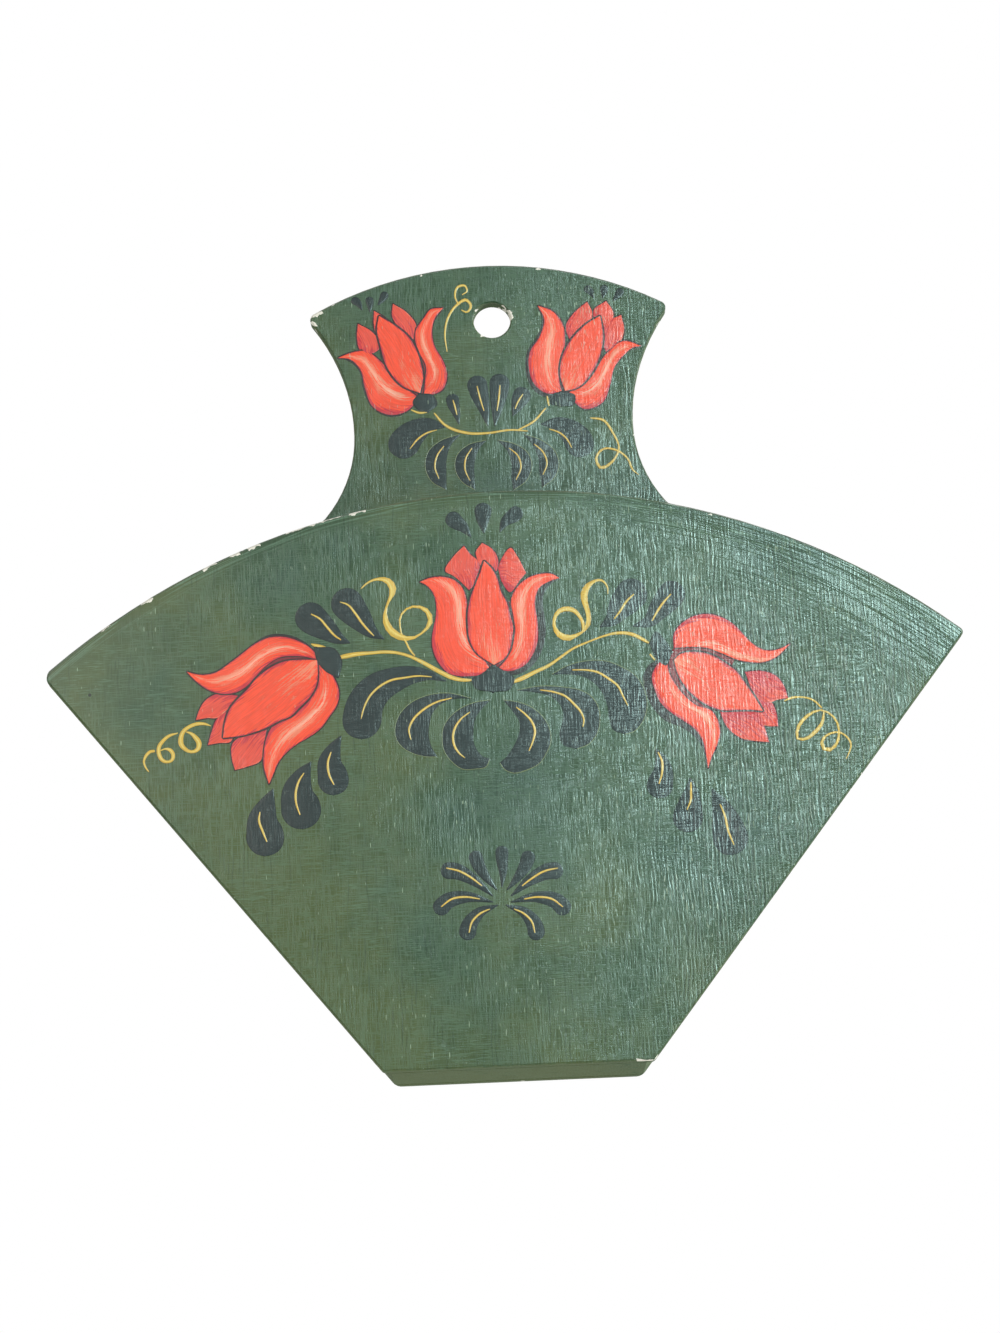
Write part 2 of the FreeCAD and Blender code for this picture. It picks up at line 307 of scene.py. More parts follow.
def back_edge(tree, place):
    """The back board is fan and neck in one, so the greater distance counts, less the hanging hole's."""
    whole = add(tree, "Math", {
        0: fan_edge(tree, place, BACK_RADIUS, OVERHANG), 1: neck_edge(tree, place)}, operation="MAXIMUM")
    hole = add(tree, "Math", {
        0: distance_from(tree, place, (0, 0, 0)), 1: HOLE_RADIUS}, operation="SUBTRACT")
    return add(tree, "Math", {0: whole, 1: hole}, operation="MINIMUM")


# %% [markdown]
# The ground is artist's green, brushed over a white primer on plywood and varnished. It isn't one green:
# olive and blue-green drift through it, the crests are a shade paler where the second coat dragged and carry
# a painted highlight as well, the furrows between them are painted darker as shade, small flecks are worn
# pale and also stand for painted glints, and the edges are rubbed and chipped to the primer. Where the brush
# never reached, inside the pocket and on the back, the plywood is bare.

# %% Tones and sizes of the finish
# crests: paler paint and a painted highlight; furrows: painted shade; flecks: worn paint and painted glints
GROUND, GROUND_OLIVE, GROUND_TEAL = rgba("#2D482E"), rgba("#46552B"), rgba("#2A473A")
CREST_TONE_AND_GLINT, FURROW_SHADE, FLECK_AND_GLINT_TONE = rgba("#6B8B74"), rgba("#172A1E"), rgba("#A9C0A6")
PRIMER, RUBBED = rgba("#E9E6DA"), rgba("#66704F")
VARNISH_SHINE = 0.28
PLY, PLY_DARK = rgba("#C4A06E"), rgba("#9A7443")
SATIN, DRY = (0.14, 0.3), 0.9
SHEEN_SIZE, DRIFT_SIZE = 14 * MM, 38 * MM
LEAN, LOW_LEAN = (0.13, -0.08), 0.18
LOW_FROM, LOW_TO = -205 * MM, -150 * MM
# how much painted highlight the crests get and painted shade the furrows get, at the left and the right
PALER_AND_LIT_CRESTS, SHADED_FURROWS = (0.75, 0.62), (0.4, 0.85)
FLECK_WIDTH, FLECK_RUN, FLECK_GROUP = 0.36 * MM, 2.4 * MM, 16 * MM
FLECK_BAR, FLECK_GAIN, FLECK_SHARE = (0.82, 0.74), 0.05, 0.6
GRIT_SIZE, WORN_WIDTH, RUBBED_SHARE = 2.2 * MM, 0.4 * MM, 0.4
CHIP_SIZE, CHIP_DEPTH, LOOSE = 4 * MM, 1.1 * MM, 0.7
LAP, LAP_SIZE = 2.0 * MM, 6 * MM
BRUSH_REACH, BRUSH_WIDTH, BRUSH_RUN = 12 * MM, 7 * MM, 60 * MM
GRAIN_WIDTH, GRAIN_LENGTH = 1.6 * MM, 45 * MM
RIM_LOW, RIM_HIGH, RIM_SHARE = 4.0 * MM, 26.0 * MM, 0.8
THROUGH = 3.0
HOLE_RIM, HOLE_LOOSENESS, STRIP_LOOSENESS = 1.2 * MM, 0.13, -0.3

# %% Bare plywood and green ground


def ply_colour(tree, place):
    """Bare plywood: a noise stretched along the upright grain, between a pale and a dark tan."""
    fibre = (GRAIN_WIDTH, GRAIN_WIDTH, GRAIN_LENGTH)
    grain = stretched_noise(tree, place, fibre, Detail=4.0, Distortion=0.6)
    shade = add(tree, "MapRange", {"Value": grain, "From Min": 0.35, "From Max": 0.75})
    return add(tree, "Mix", {0: shade, 6: PLY, 7: PLY_DARK}, data_type="RGBA")


def flecks(tree, place):
    """Pale flecks of worn paint, which also stand as painted glints: where a short upright noise
    beats a bar that is lower to the right. 0 up to 1.
    """
    noise = stretched_noise(tree, place, (FLECK_WIDTH, FLECK_WIDTH, FLECK_RUN), Detail=0.0)
    groups = add(tree, "TexNoise", {"Vector": place, "Scale": 1 / FLECK_GROUP, "Detail": 2.0})
    grouped = add(tree, "MapRange", {
        "Value": groups, "From Min": 0.3, "From Max": 0.7, "To Min": -FLECK_GAIN, "To Max": FLECK_GAIN})
    found = add(tree, "Math", {0: noise, 1: grouped}, operation="ADD")
    over = add(tree, "Math", {0: found, 1: rightwards(tree, place, *FLECK_BAR)}, operation="SUBTRACT")
    return add(tree, "MapRange", {"Value": over, "From Max": 0.04})


def ground_colour(tree, place, height):
    """Green that drifts to olive at the left and low down, and to teal at the right."""
    drift = add(tree, "TexNoise", {
        "Vector": place, "Scale": 1 / DRIFT_SIZE, "Detail": 4.0, "Roughness": 0.6})
    rise = add(tree, "SeparateXYZ", {"Vector": place}).outputs["Z"]
    low = add(tree, "MapRange", {
        "Value": rise, "From Min": LOW_FROM, "From Max": LOW_TO, "To Min": LOW_LEAN, "To Max": 0.0})
    lower = add(tree, "Math", {0: drift, 1: low}, operation="ADD")
    leaning = add(tree, "Math", {0: lower, 1: rightwards(tree, place, *LEAN)}, operation="ADD")
    to_olive = add(tree, "MapRange", {"Value": leaning, "From Min": 0.5, "From Max": 0.72})
    to_teal = add(tree, "MapRange", {"Value": leaning, "From Min": 0.48, "From Max": 0.3})
    olive = add(tree, "Mix", {0: to_olive, 6: GROUND, 7: GROUND_OLIVE}, data_type="RGBA")
    drifting = add(tree, "Mix", {0: to_teal, 6: olive, 7: GROUND_TEAL}, data_type="RGBA")
    colour = drifting
    # over the drift: crests get a painted highlight, furrows painted shade, flecks wear and painted glints
    for pattern, most, tone in (
            (height, rightwards(tree, place, *PALER_AND_LIT_CRESTS, LOADED_FROM), CREST_TONE_AND_GLINT),
            (combed(tree, place)[1], rightwards(tree, place, *SHADED_FURROWS, LOADED_FROM), FURROW_SHADE),
            (flecks(tree, place), FLECK_SHARE, FLECK_AND_GLINT_TONE)):
        share = add(tree, "Math", {0: pattern, 1: most}, operation="MULTIPLY")
        colour = add(tree, "Mix", {0: share, 6: colour, 7: tone}, data_type="RGBA")
    return colour


# %% [markdown]
# The rim is rubbed to a ragged line, and the paint comes off in chips where it is loose. Sawn edges took
# the paint but no varnish. On a hidden face the paint laps a few millimetres over the edge and stops.

# %% Wear, chips and bare wood


def near(tree, value, middle, half_width):
    """1 at the middle, falling to 0 at half a width away."""
    off = add(tree, "Math", {0: value, 1: middle}, operation="SUBTRACT")
    far = add(tree, "Math", {0: off}, operation="ABSOLUTE")
    return add(tree, "MapRange", {"Value": far, "From Max": half_width, "To Min": 1.0, "To Max": 0.0})


def edge_wear(tree, place, edge, colour, looseness):
    """Rubs the rim paler, and chips it to the primer where a noise beats a bar."""
    grit = add(tree, "TexNoise", {"Vector": place, "Scale": 1 / GRIT_SIZE, "Detail": 3.0})
    ragged = add(tree, "MapRange", {
        "Value": grit, "From Min": NOISE_LOW, "From Max": 0.7, "To Min": 0.0, "To Max": WORN_WIDTH})
    rubbed = add(tree, "Math", {0: edge, 1: ragged}, operation="LESS_THAN")
    half_rubbed = add(tree, "Math", {0: rubbed, 1: RUBBED_SHARE}, operation="MULTIPLY")
    paler = add(tree, "Mix", {0: half_rubbed, 6: colour, 7: RUBBED}, data_type="RGBA")
    stretches = add(tree, "TexNoise", {"Vector": place, "Scale": 1 / CHIP_SIZE, "Detail": 2.0})
    helped = add(tree, "Math", {0: stretches, 1: looseness}, operation="ADD")
    loose = add(tree, "Math", {0: helped, 1: LOOSE}, operation="GREATER_THAN")
    depth = add(tree, "MapRange", {
        "Value": grit, "From Min": NOISE_LOW, "From Max": NOISE_HIGH, "To Min": 0, "To Max": CHIP_DEPTH})
    close = add(tree, "Math", {0: edge, 1: depth}, operation="LESS_THAN")
    chip = add(tree, "Math", {0: close, 1: loose}, operation="MULTIPLY")
    return add(tree, "Mix", {0: chip, 6: paler, 7: PRIMER}, data_type="RGBA")


def between(tree, value, low, high):
    """1 where the value lies between low and high."""
    over = add(tree, "Math", {0: value, 1: low}, operation="GREATER_THAN")
    under = add(tree, "Math", {0: value, 1: high}, operation="LESS_THAN")
    return add(tree, "Math", {0: over, 1: under}, operation="MULTIPLY")


def bare_share(tree, place, edge, hidden):
    """1 on bare wood: on a hidden face, further in than the ragged line where the paint laps."""
    wander = add(tree, "TexNoise", {"Vector": place, "Scale": 1 / LAP_SIZE, "Detail": 3.0})
    line = add(tree, "MapRange", {
        "Value": wander, "From Min": 0.25, "From Max": 0.75, "To Min": 0.2 * LAP, "To Max": 2 * LAP})
    inside = add(tree, "Math", {0: edge, 1: line}, operation="GREATER_THAN")
    return add(tree, "Math", {0: inside, 1: hidden}, operation="MULTIPLY")


def finish_wood(material, tree, place, height, edge, bare, matt, looseness):
    """Joins paint and wood: satin varnish on the faces, dry paint on sawn edges, dry wood where bare."""
    paint = edge_wear(tree, place, edge, ground_colour(tree, place, height), looseness)
    colour = add(tree, "Mix", {0: bare, 6: paint, 7: ply_colour(tree, place)}, data_type="RGBA")
    sheen = add(tree, "TexNoise", {"Vector": place, "Scale": 1 / SHEEN_SIZE, "Detail": 3.0})
    satin = add(tree, "MapRange", {"Value": sheen, "To Min": SATIN[0], "To Max": SATIN[1]})
    dry = add(tree, "Math", {0: bare, 1: matt}, operation="MAXIMUM")
    varnished(tree, place, height, colour, add(tree, "Mix", {0: dry, 2: satin, 3: DRY}))
    return material


def arc_strokes(tree, place):
    """Strokes laid along the rim of the front arc: crests of a noise over distance from the arc and x."""
    edge = arc_edge(tree, place, FRONT_RADIUS)
    across = add(tree, "SeparateXYZ", {"Vector": place}).outputs["X"]
    along_rim = add(tree, "CombineXYZ", {"X": edge, "Y": across})
    strokes = crests(tree, along_rim, (1 / CREST_PITCH, 1 / (3 * CREST_RUN), 1), 0.0, LINEN_WANDER)
    rim = add(tree, "MapRange", {
        "Value": edge, "From Min": 1.0 * MM, "From Max": rightwards(tree, place, RIM_LOW, RIM_HIGH, 0.0),
        "To Min": RIM_SHARE, "To Max": 0.0})
    return strokes, rim


# %% Chips that the photograph shows
# the worst chips: photo pixel of the middle of each, and how far it spreads on the board in mm
FRONT_CHIPS = [((342, 517), 3.5), ((327, 522), 5.0), ((311, 528), 4.0), ((249, 552), 1.8), ((238, 557), 1.4),
               ((212, 568), 1.4), ((147, 601), 1.2), ((105, 628), 0.9), ((649, 1064), 2.2)]
BACK_CHIPS = [((316, 318), 1.4), ((330, 300), 1.1), ((352, 286), 1.1), ((376, 281), 0.8)]


def chip_looseness(tree, place, chips, surface):
    """How loose the paint is: the greatest of a bump at each chip, kept from reaching through the board."""
    total = 0.0
    for pixel, spread in chips:
        spot = on_plane([pixel], surface)[0]
        here = near(tree, distance_from(tree, place, spot, THROUGH), 0.0, 2 * spread * MM)
        total = add(tree, "Math", {0: here, 1: total}, operation="MAXIMUM")
    return total


# %% Dress the wooden pieces


def painted_front_board():
    """Green, with strokes along the arc and the worst chips; bare on the face inside the pocket."""
    material, tree = new_material("green_artist_paint_front")
    place = add(tree, "TexCoord").outputs["Object"]
    edge = fan_edge(tree, place, FRONT_RADIUS)
    strokes, rim = arc_strokes(tree, place)
    height = add(tree, "Mix", {0: rim, 2: brushed_relief(tree, place), 3: strokes})
    split = add(tree, "SeparateXYZ", {"Vector": place})
    hidden = between(tree, split.outputs["Y"], FRONT_FACE + BOARD - SKIN, 1.0)
    sawn = between(tree, split.outputs["Y"], FRONT_FACE + 2 * SKIN, FRONT_FACE + BOARD - SKIN)
    return finish_wood(material, tree, place, height, edge, bare_share(tree, place, edge, hidden), sawn,
                       chip_looseness(tree, place, FRONT_CHIPS, FRONT_FACE))


def painted_back_board():
    """Bare on its back, and on its front below the reach of a brush put down into the pocket."""
    material, tree = new_material("green_artist_paint_back")
    place = add(tree, "TexCoord").outputs["Object"]
    edge = back_edge(tree, place)
    split = add(tree, "SeparateXYZ", {"Vector": place})
    behind = between(tree, split.outputs["Y"], -SKIN, 1.0)
    in_front = between(tree, split.outputs["Y"], -1.0, BACK_FACE + SKIN)
    ends = stretched_noise(tree, place, (BRUSH_WIDTH, BRUSH_WIDTH, BRUSH_RUN), Detail=4.0)
    reach = add(tree, "MapRange", {"Value": ends, "To Min": 0.5 * BRUSH_REACH, "To Max": 1.8 * BRUSH_REACH})
    deep = add(tree, "Math", {0: fan_edge(tree, place, FRONT_RADIUS), 1: reach}, operation="GREATER_THAN")
    in_pocket = add(tree, "Math", {0: in_front, 1: deep}, operation="MULTIPLY")
    hidden = add(tree, "Math", {0: behind, 1: in_pocket}, operation="MAXIMUM")
    sawn = between(tree, split.outputs["Y"], BACK_FACE + 2 * SKIN, -SKIN)
    at_hole = near(tree, distance_from(tree, place, (0, 0, 0)), HOLE_RADIUS, HOLE_RIM)
    some = add(tree, "Math", {0: at_hole, 1: HOLE_LOOSENESS}, operation="MULTIPLY")
    looseness = add(tree, "Math", {
        0: chip_looseness(tree, place, BACK_CHIPS, BACK_FACE), 1: some}, operation="MAXIMUM")
    return finish_wood(material, tree, place, brushed_relief(tree, place), edge,
                       bare_share(tree, place, edge, hidden), sawn, looseness)


def painted_strips():
    """Green on the outside only: everything further in than a hair is bare softwood."""
    material, tree = new_material("green_artist_paint_strips")
    place = add(tree, "TexCoord").outputs["Object"]
    edge = fan_edge(tree, place, FRONT_RADIUS, OVERHANG)
    bare = between(tree, edge, 2 * SKIN, 1.0)
    everywhere = between(tree, edge, -1.0, 1.0)
    return finish_wood(material, tree, place, brushed_relief(tree, place), edge, bare, everywhere,
                       STRIP_LOOSENESS)


def dress(name, material):
    """Gives a CAD node its finish by its own material slots."""
    for slot in nodes[name].material_slots:
        slot.material = material
    print("%-12s %s" % (name, material.name))


dress("front_board", painted_front_board())
dress("back_board", painted_back_board())
strip_paint = painted_strips()
for strip in ("foot_strip", "left_strip", "right_strip"):
    dress(strip, strip_paint)

# %% [markdown]
# The brads are steel wire, driven flush. The ones at the front are under the paint and only the top left one
# shows, its dimple painted in as a dark spot of shade. The ones at the back are bare and a little rusty.

# %% The brads
# painted shade: a dark spot where the top left brad's dimple is, on its flush head
STEEL, RUST, DIMPLE_SHADE = rgba("#8B8984"), rgba("#6B4A33"), rgba("#161A15")
BLOTCH_SIZE = 0.8 * MM
DIMPLE_PLACE, DIMPLE_RADIUS = (-105.1 * MM, 0, -106.4 * MM), 0.42 * MM


def painted_over_brads():
    """Green like the board around them, with the shade of one dimple painted in as a dark spot."""
    material, tree = new_material("painted_over_steel")
    place = add(tree, "TexCoord").outputs["Object"]
    height = brushed_relief(tree, place)
    # painted shade: the dark spot of the dimple
    dimple = add(tree, "Math", {
        0: distance_from(tree, place, DIMPLE_PLACE), 1: DIMPLE_RADIUS}, operation="LESS_THAN")
    ground = ground_colour(tree, place, height)
    colour = add(tree, "Mix", {0: dimple, 6: ground, 7: DIMPLE_SHADE}, data_type="RGBA")
    varnished(tree, place, height, colour, 0.4)
    return material


def bare_brads():
    """Dull steel with blotches of rust."""
    material, tree = new_material("rusted_steel_wire")
    place = add(tree, "TexCoord").outputs["Object"]
    blotches = add(tree, "TexNoise", {"Vector": place, "Scale": 1 / BLOTCH_SIZE, "Detail": 3.0})
    colour = add(tree, "Mix", {0: blotches, 6: STEEL, 7: RUST}, data_type="RGBA")
    shader = add(tree, "BsdfPrincipled", {"Base Color": colour, "Metallic": 0.8, "Roughness": 0.5})
    add(tree, "OutputMaterial", {"Surface": shader})
    return material


dress("front_brads", painted_over_brads())
dress("back_brads", bare_brads())

# %% [markdown]
# Now the ornament. Each stroke is a film of paint between two edge curves. The curves run through a few
# points picked on the photograph, in its pixels, and each pixel is carried onto the board along the
# camera's line of sight. Across the film the surface rises and falls like a lens, and its underside is sunk
# a little into the board, so every film is a closed shell.

# %% Curves and films
SUNK = 0.05 * MM
ALONG, ACROSS, ACROSS_LINE = 44, 11, 7
SHARP = math.radians(35)
LEAST = 0.05
COATS = ("body", "shade", "light")


def smooth_curve(points, count):
    """A curve through all the points, whose slope at each one comes from its neighbours (Catmull-Rom).

    The samples crowd towards both ends: distance = length * (1 - cos(pi s)) / 2."""
    points = np.asarray(points, float)
    knots = np.concatenate([[0], np.cumsum(np.linalg.norm(np.diff(points[:, :2], axis=0), axis=1))])
    slopes = np.gradient(points, knots, axis=0)
    where = knots[-1] * (1 - np.cos(np.pi * np.linspace(0, 1, count))) / 2
    span = np.clip(np.searchsorted(knots, where, side="right") - 1, 0, len(knots) - 2)
    width = (knots[span + 1] - knots[span])[:, None]
    t = (where - knots[span])[:, None] / width
    return ((1 + 2 * t) * (1 - t) ** 2 * points[span] + t * (1 - t) ** 2 * width * slopes[span]
            + t ** 2 * (3 - 2 * t) * points[span + 1] + t ** 2 * (t - 1) * width * slopes[span + 1])


def grown(left, right, by):
    """Both edges moved apart by so much, and the two ends moved out by as much."""
    apart = left - right
    width = np.linalg.norm(apart, axis=1)[:, None]
    ahead = np.gradient((left + right) / 2, axis=0)
    ahead /= np.linalg.norm(ahead, axis=1)[:, None]
    aside = np.column_stack([-ahead[:, 1], ahead[:, 0]])
    aside *= np.sign((aside * apart).sum(axis=1).mean())
    out = np.where(width > 1.0, apart / np.maximum(width, 1e-6), aside)
    left, right = left + out * by, right - out * by
    for edge in (left, right):
        edge[0] -= ahead[0] * by
        edge[-1] += ahead[-1] * by
    return left, right


def film(left, right, surface, level, rise, coats, grow=0.0, along=ALONG, across=ACROSS):
    """A film of paint between two edge curves: vertices, faces, its three coats and brush coordinates.

    Place: (1-v)*left + v*right. Height: level + rise * (1 - (2v-1)^4) * (4u(1-u))^(1/4)."""
    left, right = smooth_curve(left, along), smooth_curve(right, along)
    left, right = grown(left, right, grow) if grow else (left, right)
    u = (np.linspace(0, 1, along)[:, None] * np.ones(across))
    v = (np.ones(along)[:, None] * np.linspace(0, 1, across))
    flat = on_plane(left[:, None] * (1 - v[..., None]) + right[:, None] * v[..., None], surface)
    height = level + rise * (1 - (2 * v - 1) ** 4) * (4 * u * (1 - u)) ** 0.25
    top, bottom = flat.copy(), flat[:, ::-1].copy()
    top[..., 1] = surface - height
    bottom[..., 1] = surface + SUNK
    rings = np.concatenate([top, bottom], axis=1)[1:-1]
    poles = flat[[0, -1], across // 2]
    poles[:, 1] = surface - level / 2
    middle = flat[:, across // 2]
    run = np.concatenate([[0], np.cumsum(np.linalg.norm(np.diff(middle, axis=0), axis=1))])
    reach = np.linalg.norm(flat - middle[:, None], axis=2) * np.sign(v - 0.5)
    start = 0.37 * abs(left[0].sum())
    brush = np.stack([run[:, None] * np.ones(across), reach + start * MM], axis=-1)
    count, ring = rings.shape[0], rings.shape[1]
    i, j = np.meshgrid(np.arange(count - 1), np.arange(ring), indexing="ij")
    following = (j + 1) % ring
    quads = np.stack([i * ring + j, i * ring + following,
                      (i + 1) * ring + following, (i + 1) * ring + j], axis=-1).reshape(-1, 4)
    spokes = np.arange(ring)
    first, last = count * ring, count * ring + 1
    caps = np.concatenate([
        np.stack([np.full(ring, first), (spokes + 1) % ring, spokes], axis=1),
        np.stack([np.full(ring, last), (count - 1) * ring + spokes,
                  (count - 1) * ring + (spokes + 1) % ring], axis=1)])

    def wrap(values):
        both = np.concatenate([values, values[:, ::-1]], axis=1)[1:-1].reshape(-1, values.shape[-1])
        return np.concatenate([both, values[[0, -1], across // 2]])

    return (np.concatenate([rings.reshape(-1, 3), poles]), quads.tolist() + caps.tolist(),
            [wrap(coat) for coat in coats(u, v)], wrap(brush))


def paint_piece(name, films, material):
    """Joins films into one mesh with its coats and brush coordinates, and lets it ride on the pocket."""
    vertices, faces, coats, brushes, start = [], [], [], [], 0
    for places, polygons, coat, brush in films:
        vertices.append(places)
        faces += [[start + index for index in polygon] for polygon in polygons]
        coats.append(coat)
        brushes.append(brush)
        start += len(places)
    mesh = bpy.data.meshes.new(name)
    mesh.from_pydata(np.concatenate(vertices).tolist(), [], faces)
    for layer, coat_name in enumerate(COATS):
        paint = mesh.color_attributes.new(coat_name, "FLOAT_COLOR", "POINT")
        paint.data.foreach_set("color", np.concatenate([coat[layer] for coat in coats]).ravel())
    brush_map = mesh.uv_layers.new(name="brush")
    corners = np.empty(len(mesh.loops), int)
    mesh.loops.foreach_get("vertex_index", corners)
    brush_map.data.foreach_set("uv", np.concatenate(brushes)[corners].ravel())
    work = bmesh.new()
    work.from_mesh(mesh)
    bmesh.ops.recalc_face_normals(work, faces=work.faces)
    work.to_mesh(mesh)
    work.free()
    mesh.polygons.foreach_set("use_smooth", np.ones(len(mesh.polygons), bool))
    mesh.set_sharp_from_angle(angle=SHARP)
    piece = bpy.data.objects.new(name, mesh)
    bpy.context.scene.collection.objects.link(piece)
    mesh.materials.append(material)
    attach(piece, "root")
    print("%-22s %3d films %6d faces" % (name, len(films), len(faces)))
    return piece


# %% [markdown]
# The finish of every stroke is the same: artist's paint under the shared varnish. A petal has three coats,
# a body colour and over it a shade and a light, whose strength is stored in the alpha of each coat. The
# two upper coats are dry brush: they catch on the crests of the ground and on the streaks that the hairs of
# the brush leave along the stroke, so their edges break up. The streaks follow the brush map, which holds
# real distances along and across the stroke.

# %% Artist's paint
HAIR_PITCH, HAIR_RUN = 0.4 * MM, 6 * MM
HAIR_HOLDS = 0.22, 0.95
CATCH, DRY_EDGE, SCUFF_AND_GLINT = 0.22, 0.16, 0.35


def artist_paint(name, streaks, roughness):
    """Two dry coats over a body colour, each laid where its strength beats the bar of hairs and crests."""
    material, tree = new_material(name)
    place = add(tree, "TexCoord").outputs["Object"]
    brush = add(tree, "UVMap", uv_map="brush")
    streak = stretched_noise(tree, brush, (HAIR_RUN, HAIR_PITCH, 1), Detail=2.0, Roughness=0.6)
    height = brushed_relief(tree, place)
    held = add(tree, "MapRange", {
        "Value": streak, "From Min": 0.3, "From Max": 0.7, "To Min": HAIR_HOLDS[0], "To Max": HAIR_HOLDS[1]})
    caught = add(tree, "Math", {0: height, 1: CATCH}, operation="MULTIPLY")
    bar = add(tree, "Math", {0: held, 1: caught}, operation="SUBTRACT")
    low = add(tree, "Math", {0: bar, 1: DRY_EDGE}, operation="SUBTRACT")
    high = add(tree, "Math", {0: bar, 1: DRY_EDGE}, operation="ADD")
    body, *upper = [add(tree, "Attribute", attribute_name=coat) for coat in COATS]
    colour = body
    for coat in upper:
        cover = add(tree, "MapRange", {
            "Value": coat.outputs["Alpha"], "From Min": low, "From Max": high},
            interpolation_type="SMOOTHSTEP")
        some = add(tree, "Math", {0: coat.outputs["Alpha"], 1: 0.02}, operation="GREATER_THAN")
        share = add(tree, "Math", {0: cover, 1: some}, operation="MULTIPLY")
        colour = add(tree, "Mix", {0: share, 6: colour, 7: coat}, data_type="RGBA")
    value = add(tree, "MapRange", {
        "Value": streak, "From Min": 0.3, "From Max": 0.7,
        "To Min": 1 - streaks, "To Max": 1 + streaks})
    streaked = add(tree, "HueSaturation", {"Value": value, "Color": colour})
    # pale flecks over the strokes: scuffs, and painted glints as well
    scuffs_and_glints = add(tree, "Math", {0: flecks(tree, place), 1: SCUFF_AND_GLINT}, operation="MULTIPLY")
    paint = add(tree, "Mix", {0: scuffs_and_glints, 6: streaked, 7: FLECK_AND_GLINT_TONE}, data_type="RGBA")
    varnished(tree, place, height, paint, roughness)
    return material


flower_paint = artist_paint("cadmium_red_artist_paint", 0.16, 0.25)
leaf_paint = artist_paint("slate_black_artist_paint", 0.2, 0.23)
gold_paint = artist_paint("yellow_ochre_artist_paint", 0.2, 0.26)

# %% [markdown]
# A petal is laid in with orange red, shaded with crimson towards its base and under its neighbours, and lit
# with a loaded stroke of salmon along one side. So the strength of each coat is a sum of soft bands across
# and along the film.

# %% Coats of petals and strokes
ORANGE, SALMON, PALE = linear("#F04C2C"), linear("#F58868"), linear("#FBC6AE")
CRIMSON, PLUM, BRICK, WINE = linear("#C42B3A"), linear("#2C1519"), linear("#DE4A38"), linear("#7C1F2A")
SLATE, BLACK, DUSK = linear("#1C2A2B"), linear("#131B1B"), linear("#241F20")
GOLD, STRAW, OCHRE = linear("#CBA63E"), linear("#E2CB6C"), linear("#8A7334")
MOSS = linear("#74835C")

# how far dark outlines show round a film, and half the width of the mossy one, in pixels of the photograph
RIM, HAIRLINE, LEAF_RIM, MOSS_LINE = 2.1, 1.5, 0.6, 0.35

# each film lies a little above the one that was painted before it, and bulges a little
LAYER, DOME, LINE_DOME = 0.015 * MM, 0.025 * MM, 0.02 * MM


def band(value, middle, width):
    """A soft band: exp(-((value - middle) / width)^2)."""
    return np.exp(-((value - middle) / width) ** 2)


def blend(colour, other, share):
    """One colour mixed into another by a share at every point."""
    return colour * (1 - share[..., None]) + other * share[..., None]


def coat(colour, share):
    """Colour and strength of a coat at every point."""
    colours = np.broadcast_to(colour, share.shape + (3,))
    return np.concatenate([colours, np.clip(share, 0, 1)[..., None]], axis=-1)


def plain(colour):
    """A stroke of one colour."""
    return lambda u, v: (coat(colour, np.ones_like(u)), coat(colour, 0 * u), coat(colour, 0 * u))


def side_petal(lit, breadth, blush_side):
    """Orange red; crimson at the base and both edges; salmon along v = lit with a pale streak in it."""
    def coats(u, v):
        edges = 0.8 * (band(v, 0.0, 0.07) + band(v, 1.0, 0.07)) * (1 - band(v, lit, breadth))
        crimson = 0.7 * band(u, 1.0, 0.2) + 0.6 * band(v, blush_side, 0.2) * band(u, 0.65, 0.4) + edges
        salmon = 0.72 * band(v, lit, breadth) * band(u, 0.45, 0.45)
        tone = blend(SALMON, PALE, 0.75 * band(v, lit, 0.06) * band(u, 0.6, 0.3))
        return coat(ORANGE, np.ones_like(u)), coat(CRIMSON, crimson), coat(tone, salmon)
    return coats


def heart_petal(u, v):
    """The middle petal: orange red at the tip, dry salmon towards the base, crimson along its edges."""
    crimson = 0.8 * (band(v, 0.0, 0.08) + band(v, 1.0, 0.08)) + 0.3 * band(u, 0.0, 0.1)
    salmon = band(v, 0.5, 0.4) * np.clip(1.6 * (u - 0.35), 0, 1) * (1 - 0.7 * band(u, 1.0, 0.08))
    return coat(ORANGE, np.ones_like(u)), coat(CRIMSON, crimson), coat(SALMON, salmon)


def back_petal(rim_side, deep):
    """A back petal: brick red, crimson where it goes behind the others, with a pale rim down one edge."""
    def coats(u, v):
        crimson = deep + np.clip(1.2 * (u - 0.35), 0, 0.8) + 0.4 * band(v, 1 - rim_side, 0.25)
        rim = 0.9 * band(v, rim_side, 0.1) * (1 - u) + 0.4 * band(u, 0.0, 0.06)
        return coat(BRICK, np.ones_like(u)), coat(CRIMSON, crimson), coat(SALMON, rim)
    return coats


def gold_stroke(u, v):
    """A gold line: straw down the middle, ochre where it thins."""
    thin = 0.8 * (band(u, 0.0, 0.1) + band(u, 1.0, 0.1)) + 0.35 * (band(v, 0.0, 0.15) + band(v, 1.0, 0.15))
    return coat(GOLD, np.ones_like(u)), coat(OCHRE, thin), coat(STRAW, 0.75 * band(v, 0.5, 0.3))


# %% [markdown]
# Strokes of a round brush are ribbons: a path, and half a width at each of its points. A comma stroke is
# pressed down at its head and lifted off to a tail, so its width is a formula.

# %% Ribbons and comma strokes


def ribbon(points, half_widths, count=ALONG):
    """The two edges of a ribbon: its path, plus and minus its normal times half its width."""
    path = smooth_curve(np.column_stack([points, half_widths]), count)
    return path_edges(path[:, :2], np.maximum(path[:, 2], LEAST))


def path_edges(path, half_width):
    """The two edges of a path, either side of it along its normal."""
    heading = np.gradient(path, axis=0)
    heading /= np.linalg.norm(heading, axis=1)[:, None]
    normal = np.column_stack([-heading[:, 1], heading[:, 0]])
    return path + normal * half_width[:, None], path - normal * half_width[:, None]


